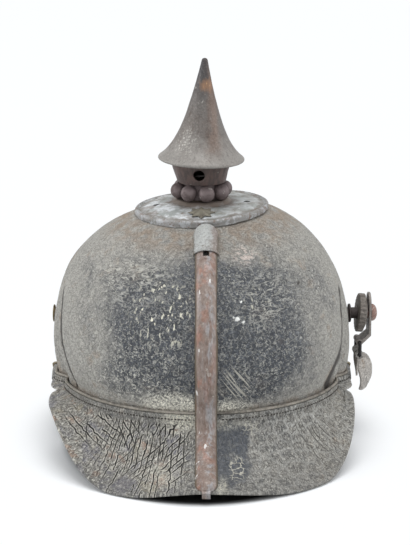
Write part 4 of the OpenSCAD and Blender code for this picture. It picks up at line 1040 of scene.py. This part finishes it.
def makeSpineProng(before, end):  # the tongue that grips the guard's edge
    way = unit(end - before)
    normal = np.array([-way[1], way[0]])
    stops = [(-0.6, 0.3), (1.2, 0.3), (1.4, -3.35), (-8, -3.35)]
    line = np.array([end + x * way + y * normal for x, y in stops])
    inside, half = stepAside(line, 0.8), 0.19 * spine["width"]
    sides = np.array([[0, 3, 2, 1], [4, 5, 6, 7], [0, 1, 5, 4], [1, 2, 6, 5], [2, 3, 7, 6], [3, 0, 4, 7]])
    pieces = []
    for k in range(3):
        ring = [line[k], line[k + 1], inside[k + 1], inside[k]]
        pieces.append((np.array([(spine["x"] + x, *p) for x in (-half, half) for p in ring]), sides))
    addPiece("spineProng", joined(pieces), "rusty_metal", "spine")


spineLine = spinePath()
makeSpine(spineLine)
makeSpineProng(spineLine[-3], spineLine[-1])


# Metal pieces: the frame's solids, remeshed finely, with dents and pits of a given depth and size

def beaten(name, node, body, slot, look, voxel, dents, pits, ease, radial=False, bend=None):
    work = bpy.data.objects.new("work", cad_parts[node].data.copy())
    bpy.context.scene.collection.objects.link(work)
    remesh, smoothing = work.modifiers.new("remesh", "REMESH"), work.modifiers.new("ease", "SMOOTH")
    remesh.mode, remesh.voxel_size, remesh.use_smooth_shade = "VOXEL", voxel * mm, True
    smoothing.factor, smoothing.iterations = 0.5, ease
    ready = bpy.data.meshes.new_from_object(work.evaluated_get(bpy.context.evaluated_depsgraph_get()))
    bpy.data.objects.remove(work)

    def read(key):
        values = np.zeros(len(ready.vertices) * 3)
        ready.vertices.foreach_get(key, values)
        return values.reshape(-1, 3)

    points, normals = read("co") / mm, read("normal")
    way = unit(points * [1, 1, 0], 1e-6) if radial else normals
    points = points + way * (dents[0] * noise(points, dents[1], 7, 2))[:, None]
    points = points + normals * (pits[0] * np.minimum(noise(points, pits[1], 9, 2), 0.2))[:, None]
    points = bend(points) if bend else points
    ready.vertices.foreach_set("co", (points * mm).ravel())
    ready.polygons.foreach_set("use_smooth", np.ones(len(ready.polygons), bool))
    ready.update()
    ready.set_sharp_from_angle(angle=math.radians(60))
    addPiece(name, ready, slot, look, node, body=body)


def leaning(p):  # the spike leans a little to one side above its neck
    rise = p[:, 2] - 171
    share = smooth(rise / 12) * 0.035
    return p + together(0.6 * smooth(rise / 8) - rise * share, 0, p[:, 0] * share)


def seated(p):
    return tilted(p, tilt["lift"])


beaten("spikeShell", "spike", "spike", "rusty_metal", "spike", 0.5, (0.16, 15), (0.03, 2.2), 3, True, leaning)
beaten("pearlRing", "pearl_ring", "ring", "pearl_metal", "pearl", 0.34, (0.05, 5), (0.05, 1.8), 2)
beaten("basePlate", "spike_base", "helmet", "grey_metal", "plate", 0.42, (0.1, 14), (0.03, 2), 2, bend=seated)
beaten("ventCover", "vent_slide", "vent_cover", "grey_metal", "cover", 0.3, (0.04, 7), (0.02, 1.5), 2)
beaten("starRear", "star_stud_rear", "helmet", "grey_metal", "star", 0.22, (0, 5), (0.02, 1.2), 1)
beaten("starFront", "star_stud_front", "helmet", "grey_metal", "star", 0.22, (0, 5), (0.02, 1.2), 1)
beaten("sideKnob", "side_knob", "helmet", "knob_metal", "knob", 0.24, (0.03, 4), (0.03, 1.2), 2)
beaten("rosetteDisc", "rosette", "rosette", "rosette_metal", "rosette", 0.24, (0, 4), (0.02, 1.4), 1)
beaten("strapLug", "strap_lug", "lug", "rusty_metal", "lug", 0.3, (0.03, 5), (0.02, 1.4), 1)
beaten("strapBuckle", "strap_buckle", "strap", "black_metal", "black", 0.22, (0.02, 3), (0.02, 1.2), 2)

for node, look in [("spike_boss", "brass"), ("stud_washers", "brass"), ("knob_washer", "spine"),
                   ("left_bush", "brass"), ("plate_eyelets", "brass")]:
    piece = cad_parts[node]
    if not piece.material_slots:
        piece.data.materials.append(finishes[look])
    for place in piece.material_slots:
        place.material = finishes[look]


# Strap: a stiff doubled end, looped on the buckle's lower bar

strap = {"width": 15, "thick": 1.9, "drop": 22, "barX": 18.3 + 8, "barOut": 7.4, "inner": 1.1 + 0.06}
strap["outer"] = strap["inner"] + strap["thick"] * 0.8


def fromKnob(grid):  # down, across and out from the knob, in the frame's axes
    centre, *axes = knobAt
    return centre + sum(grid[..., k, None] * axes[k] for k in range(3))


def strapLayer(points, thick, seed, tip):  # points: share of the drop, distance out and twist
    points = np.array(points, float)
    start = strap["barX"] + strap["outer"]
    line = together(start + points[:, 0] * strap["drop"], strap["barOut"] + points[:, 1], points[:, 2])
    t = np.linspace(0, len(line) - 1, 44)
    line = together(*[np.interp(t, np.arange(len(line)), column) for column in line.T])
    for _ in range(6):
        line[1:-1] = (line[:-2] + 2 * line[1:-1] + line[2:]) / 4
    way = unit(np.gradient(line[:, :2], axis=0))
    along, across, twist = together(way[:, 0], 0, way[:, 1]), np.array([0, 1.0, 0]), line[:, 2:]
    wide = cosd(twist) * across + sind(twist) * np.cross(across, along)
    normal = np.cross(along, wide)[:, None]
    v = np.linspace(-1, 1, 30)[:, None]
    half = strap["width"] / 2 * (1 - tip * np.linspace(0, 1, len(line)) ** 3)
    middle = together(line[:, 0], 0, line[:, 1])[:, None] + half[:, None, None] * v * wide[:, None]
    lump, rim = noise(middle, 5, seed, 3)[..., None] * 0.2, thick / 2 * rounded((np.abs(v) - 0.9) / 0.1, 0.1)
    return fromKnob(middle + normal * (rim + lump)), fromKnob(middle - normal * (rim - lump))


def addStrap(name, outer, inner, marks, closed=False, nodes=()):
    mesh = shellMesh(outer, inner, closed, marks=marks)
    addPiece(name, mesh, "strap_leather", "strap", *nodes, body="strap")


def makeStrap():
    front = [[-0.1, 0.9, -4], [0.02, 1.4, -16], [0.14, 3.2, -38], [0.36, 4.8, -44], [0.6, 5.6, -38],
             [0.8, 4.8, -30], [1, 3.4, -24]]
    tail = [[-0.1, -0.9, 0], [0.1, -1.3, 0], [0.3, -1.2, -4], [0.5, -0.7, -8]]
    outer, inner = strapLayer(front, strap["thick"], 3, 0.1)
    rows, columns = np.indices(outer.shape[:2])
    blush = smooth(1 - np.hypot((rows - 15) / 9, (columns - 9) / 9)) * 1.4
    marks = {"dust": 0.85, "pale": 0.2, "stain": held(blush)}
    addStrap("strapFront", outer, inner, marks, nodes=("chin_strap",))
    addStrap("strapTail", *strapLayer(tail, strap["thick"] * 0.7, 9, 0.0), marks)
    t = np.radians(np.linspace(0, 360, 33)[:-1])
    y = np.linspace(-strap["width"] / 2, strap["width"] / 2, 26)[:, None]
    outer, inner = [together(strap["barX"] + r * np.cos(t), y, strap["barOut"] + r * np.sin(t))
                    for r in (strap["outer"], strap["inner"])]
    outer = outer + 0.12 * noise(outer, 3, 5, 2)[..., None]
    addStrap("strapLoop", fromKnob(outer), fromKnob(inner), {"dust": 0.4, "pale": 0.4}, True)


makeStrap()


# Liner: a sweatband and tongues of thin brown leather

liner = {"thick": 1.3, "gap": 0.3, "tongues": 10, "stand": 8, "foot": skull["rimZ"] + 1}
liner["top"] = liner["foot"] + 30


def bandPoint(a, inset, z):
    turn = np.abs(a)
    push = skull["flare"] * smooth((turn - skull["foldAngle"]) / 34) * smooth((150 - turn) / 45)
    push = push - skull["foldDepth"] * np.exp(-((turn - skull["foldAngle"]) / 14) ** 2) - skull["pinch"]
    k = skull["leather"] + liner["gap"] + inset
    return together((skull["half"] - k + push) * sind(a), (reachAt(a) - k + push) * cosd(a), z)


def makeBand():
    a, z = np.arange(360) - 180.0, np.linspace(liner["foot"], liner["top"], 26)[:, None]
    plump = rounded(np.abs(np.linspace(-1, 1, 26)) * 15 - 14, 0.2)[:, None, None]
    outer, inner = bandPoint(a, 0, z), bandPoint(a, liner["thick"], z)
    middle = (outer + inner) / 2
    outer, inner = middle + (outer - middle) * plump, middle + (inner - middle) * plump
    inner = inner + (middle - inner) * 0.35 * (noise(inner, 6, 3, 3)[..., None] + 0.6)
    mesh = shellMesh(outer, inner, True)
    addPiece("sweatbandLeather", mesh, "liner_leather", "band", "sweatband")


def tongueSheet(mid, inset):
    rows = [(0, 1), (0, 1), (0.16, 0.97), (0.32, 0.9), (0.47, 0.8), (0.6, 0.68), (0.68, 0.5)]
    keys = []
    for j, (s, share) in enumerate(rows):
        a = mid + 160 / liner["tongues"] * share * np.linspace(-1, 1, 24)
        if j < 2:
            keys.append(bandPoint(a, liner["thick"] + 0.3 + inset, liner["top"] + (-5, 2)[j]))
        else:
            keys.append(skullPoint(a, s, skull["leather"] + liner["stand"] + inset))
    keys, t = np.stack(keys), np.linspace(0, 6, 40)
    k = np.clip(np.floor(t).astype(int), 0, 5)
    u = (t - k)[:, None, None]
    p0, p1, p2, p3 = keys[np.maximum(k - 1, 0)], keys[k], keys[k + 1], keys[np.minimum(k + 2, 6)]
    square, cube = 2 * p0 - 5 * p1 + 4 * p2 - p3, 3 * p1 - p0 - 3 * p2 + p3
    return 0.5 * (2 * p1 + (p2 - p0) * u + square * u ** 2 + cube * u ** 3)


def makeTongues():
    rim = rounded(np.abs(np.linspace(-1, 1, 24)) * 9 - 8, 0.2)[:, None]
    rise = smooth(np.linspace(-0.3, 1, 40))[:, None, None]
    for k in range(liner["tongues"]):
        mid = fromBack(36 * (k + 0.5))
        outer, inner = tongueSheet(mid, 0), tongueSheet(mid, liner["thick"])
        middle, inward = (outer + inner) / 2, inner - outer
        wave = noise(middle, 17, 40 + k, 3)[..., None] * rise
        middle = middle + inward / liner["thick"] * (wave * 0.8 + 0.4)
        name, nodes = f"linerTongue{k + 1}", ("liner_tongues",) if k == 0 else ()
        mesh = shellMesh(middle - inward / 2 * rim, middle + inward / 2 * rim)
        addPiece(name, mesh, "liner_leather", "liner", *nodes)


makeBand()
makeTongues()
print("pieces made")


# Stage: pale floor with a painted shadow under the helmet, soft studio light, camera behind the helmet and a
# little above it

studio = {"target": (0, 0, 0.1), "distance": 1.8, "rise": 15, "size": (410, 545), "middle": (201.5, 288)}
studio["focal"] = 1.572 * 1800  # in pixels of a picture of that size


def makeStage():
    bpy.ops.mesh.primitive_plane_add(size=12)
    floor = bpy.context.object
    floor.name = "studioFloor"
    f = Finish("FloorWhiteWithPaintedShadow")
    path = f.add("LightPath").out("Is Camera Ray")
    glow = f.add("Emission", None, {"Color": (0.97, 0.988, 1, 1), "Strength": 1.025})
    under, away = [f.vector("LENGTH", f.stretched((1 / x, 1 / y, 0)))
                   for x, y in ((0.092, 0.138), (0.096, 0.14))]
    # painted shadow: the floor turns near black inside the helmet's footprint, darkest under the neck guard
    inside = (1 - under.step(0.9, 1.0)) * (0.6 + f.axis("Y").step(0.05, 0.1) * 0.4)
    f.done(f.mixed((0.93, 0.94, 0.95, 1), (0.02, 0.02, 0.02, 1), inside), 0.9, 0.1)
    lit = Wire(f, f.shader, f.shader.outputs[0])
    mix = f.add("MixShader", None, [path * away.step(0.97, 1.4) * 0.95, lit, glow])
    f.put(f.tree.nodes["Material Output"].inputs[0], mix)
    floor.data.materials.append(f.material)


def makeWorld():
    world = bpy.data.worlds.new("studioWorld")
    bpy.context.scene.world = world
    world.use_nodes = True
    world.node_tree.nodes.clear()
    w = Nodes(world.node_tree)
    path = w.add("LightPath")
    seen = w.maths("MAXIMUM", path.out("Is Camera Ray"), path.out("Is Glossy Ray"))
    seen = w.maths("MAXIMUM", seen, path.out("Is Transmission Ray"))
    plain = w.add("Background", None, {"Color": (0.94, 0.97, 1, 1), "Strength": 0.55})
    bright = w.add("Background", None, {"Color": (1, 1, 1, 1)})
    w.add("OutputWorld", None, [w.add("MixShader", None, [seen, plain, bright])])


def addLamp(name, place, size, watts):
    data = bpy.data.lights.new(name, "AREA")
    data.shape, data.size, data.size_y, data.energy = "RECTANGLE", *size, watts
    lamp = bpy.data.objects.new(name, data)
    lamp.location = place
    lamp.rotation_euler = (Vector(studio["target"]) - Vector(place)).to_track_quat("-Z", "Y").to_euler()
    bpy.context.scene.collection.objects.link(lamp)


def makeCamera():
    target, rise, focal = Vector(studio["target"]), math.radians(studio["rise"]), studio["focal"]
    wide, high = studio["size"]
    place = target + Vector((0, math.cos(rise), math.sin(rise))) * studio["distance"]
    right, up = Vector((-1, 0, 0)), Vector((0, -math.sin(rise), math.cos(rise)))
    shift = right * (wide / 2 - studio["middle"][0]) + up * (studio["middle"][1] - high / 2)
    aim = target + shift * studio["distance"] / focal
    data = bpy.data.cameras.new("studioCamera")
    data.sensor_fit, data.sensor_width, data.sensor_height = "VERTICAL", 36, 36
    data.lens = focal * 36 / high
    camera = bpy.data.objects.new("studioCamera", data)
    camera.location = place
    camera.rotation_euler = (aim - place).to_track_quat("-Z", "Y").to_euler()
    bpy.context.scene.collection.objects.link(camera)
    bpy.context.scene.camera = camera


makeStage()
makeWorld()
addLamp("topSoftbox", (0, 0.3, 2.0), (1.6, 1.2), 22)
addLamp("leftSoftbox", (1.9, 0.1, 0.8), (0.9, 1.3), 16.5)
addLamp("rightSoftbox", (-1.9, 0.1, 0.8), (0.9, 1.3), 11)
addLamp("backStrip", (-0.5, 2.2, 1.3), (0.35, 1.2), 6)
makeCamera()
bpy.context.scene.view_settings.view_transform = "Standard"
print("stage set")
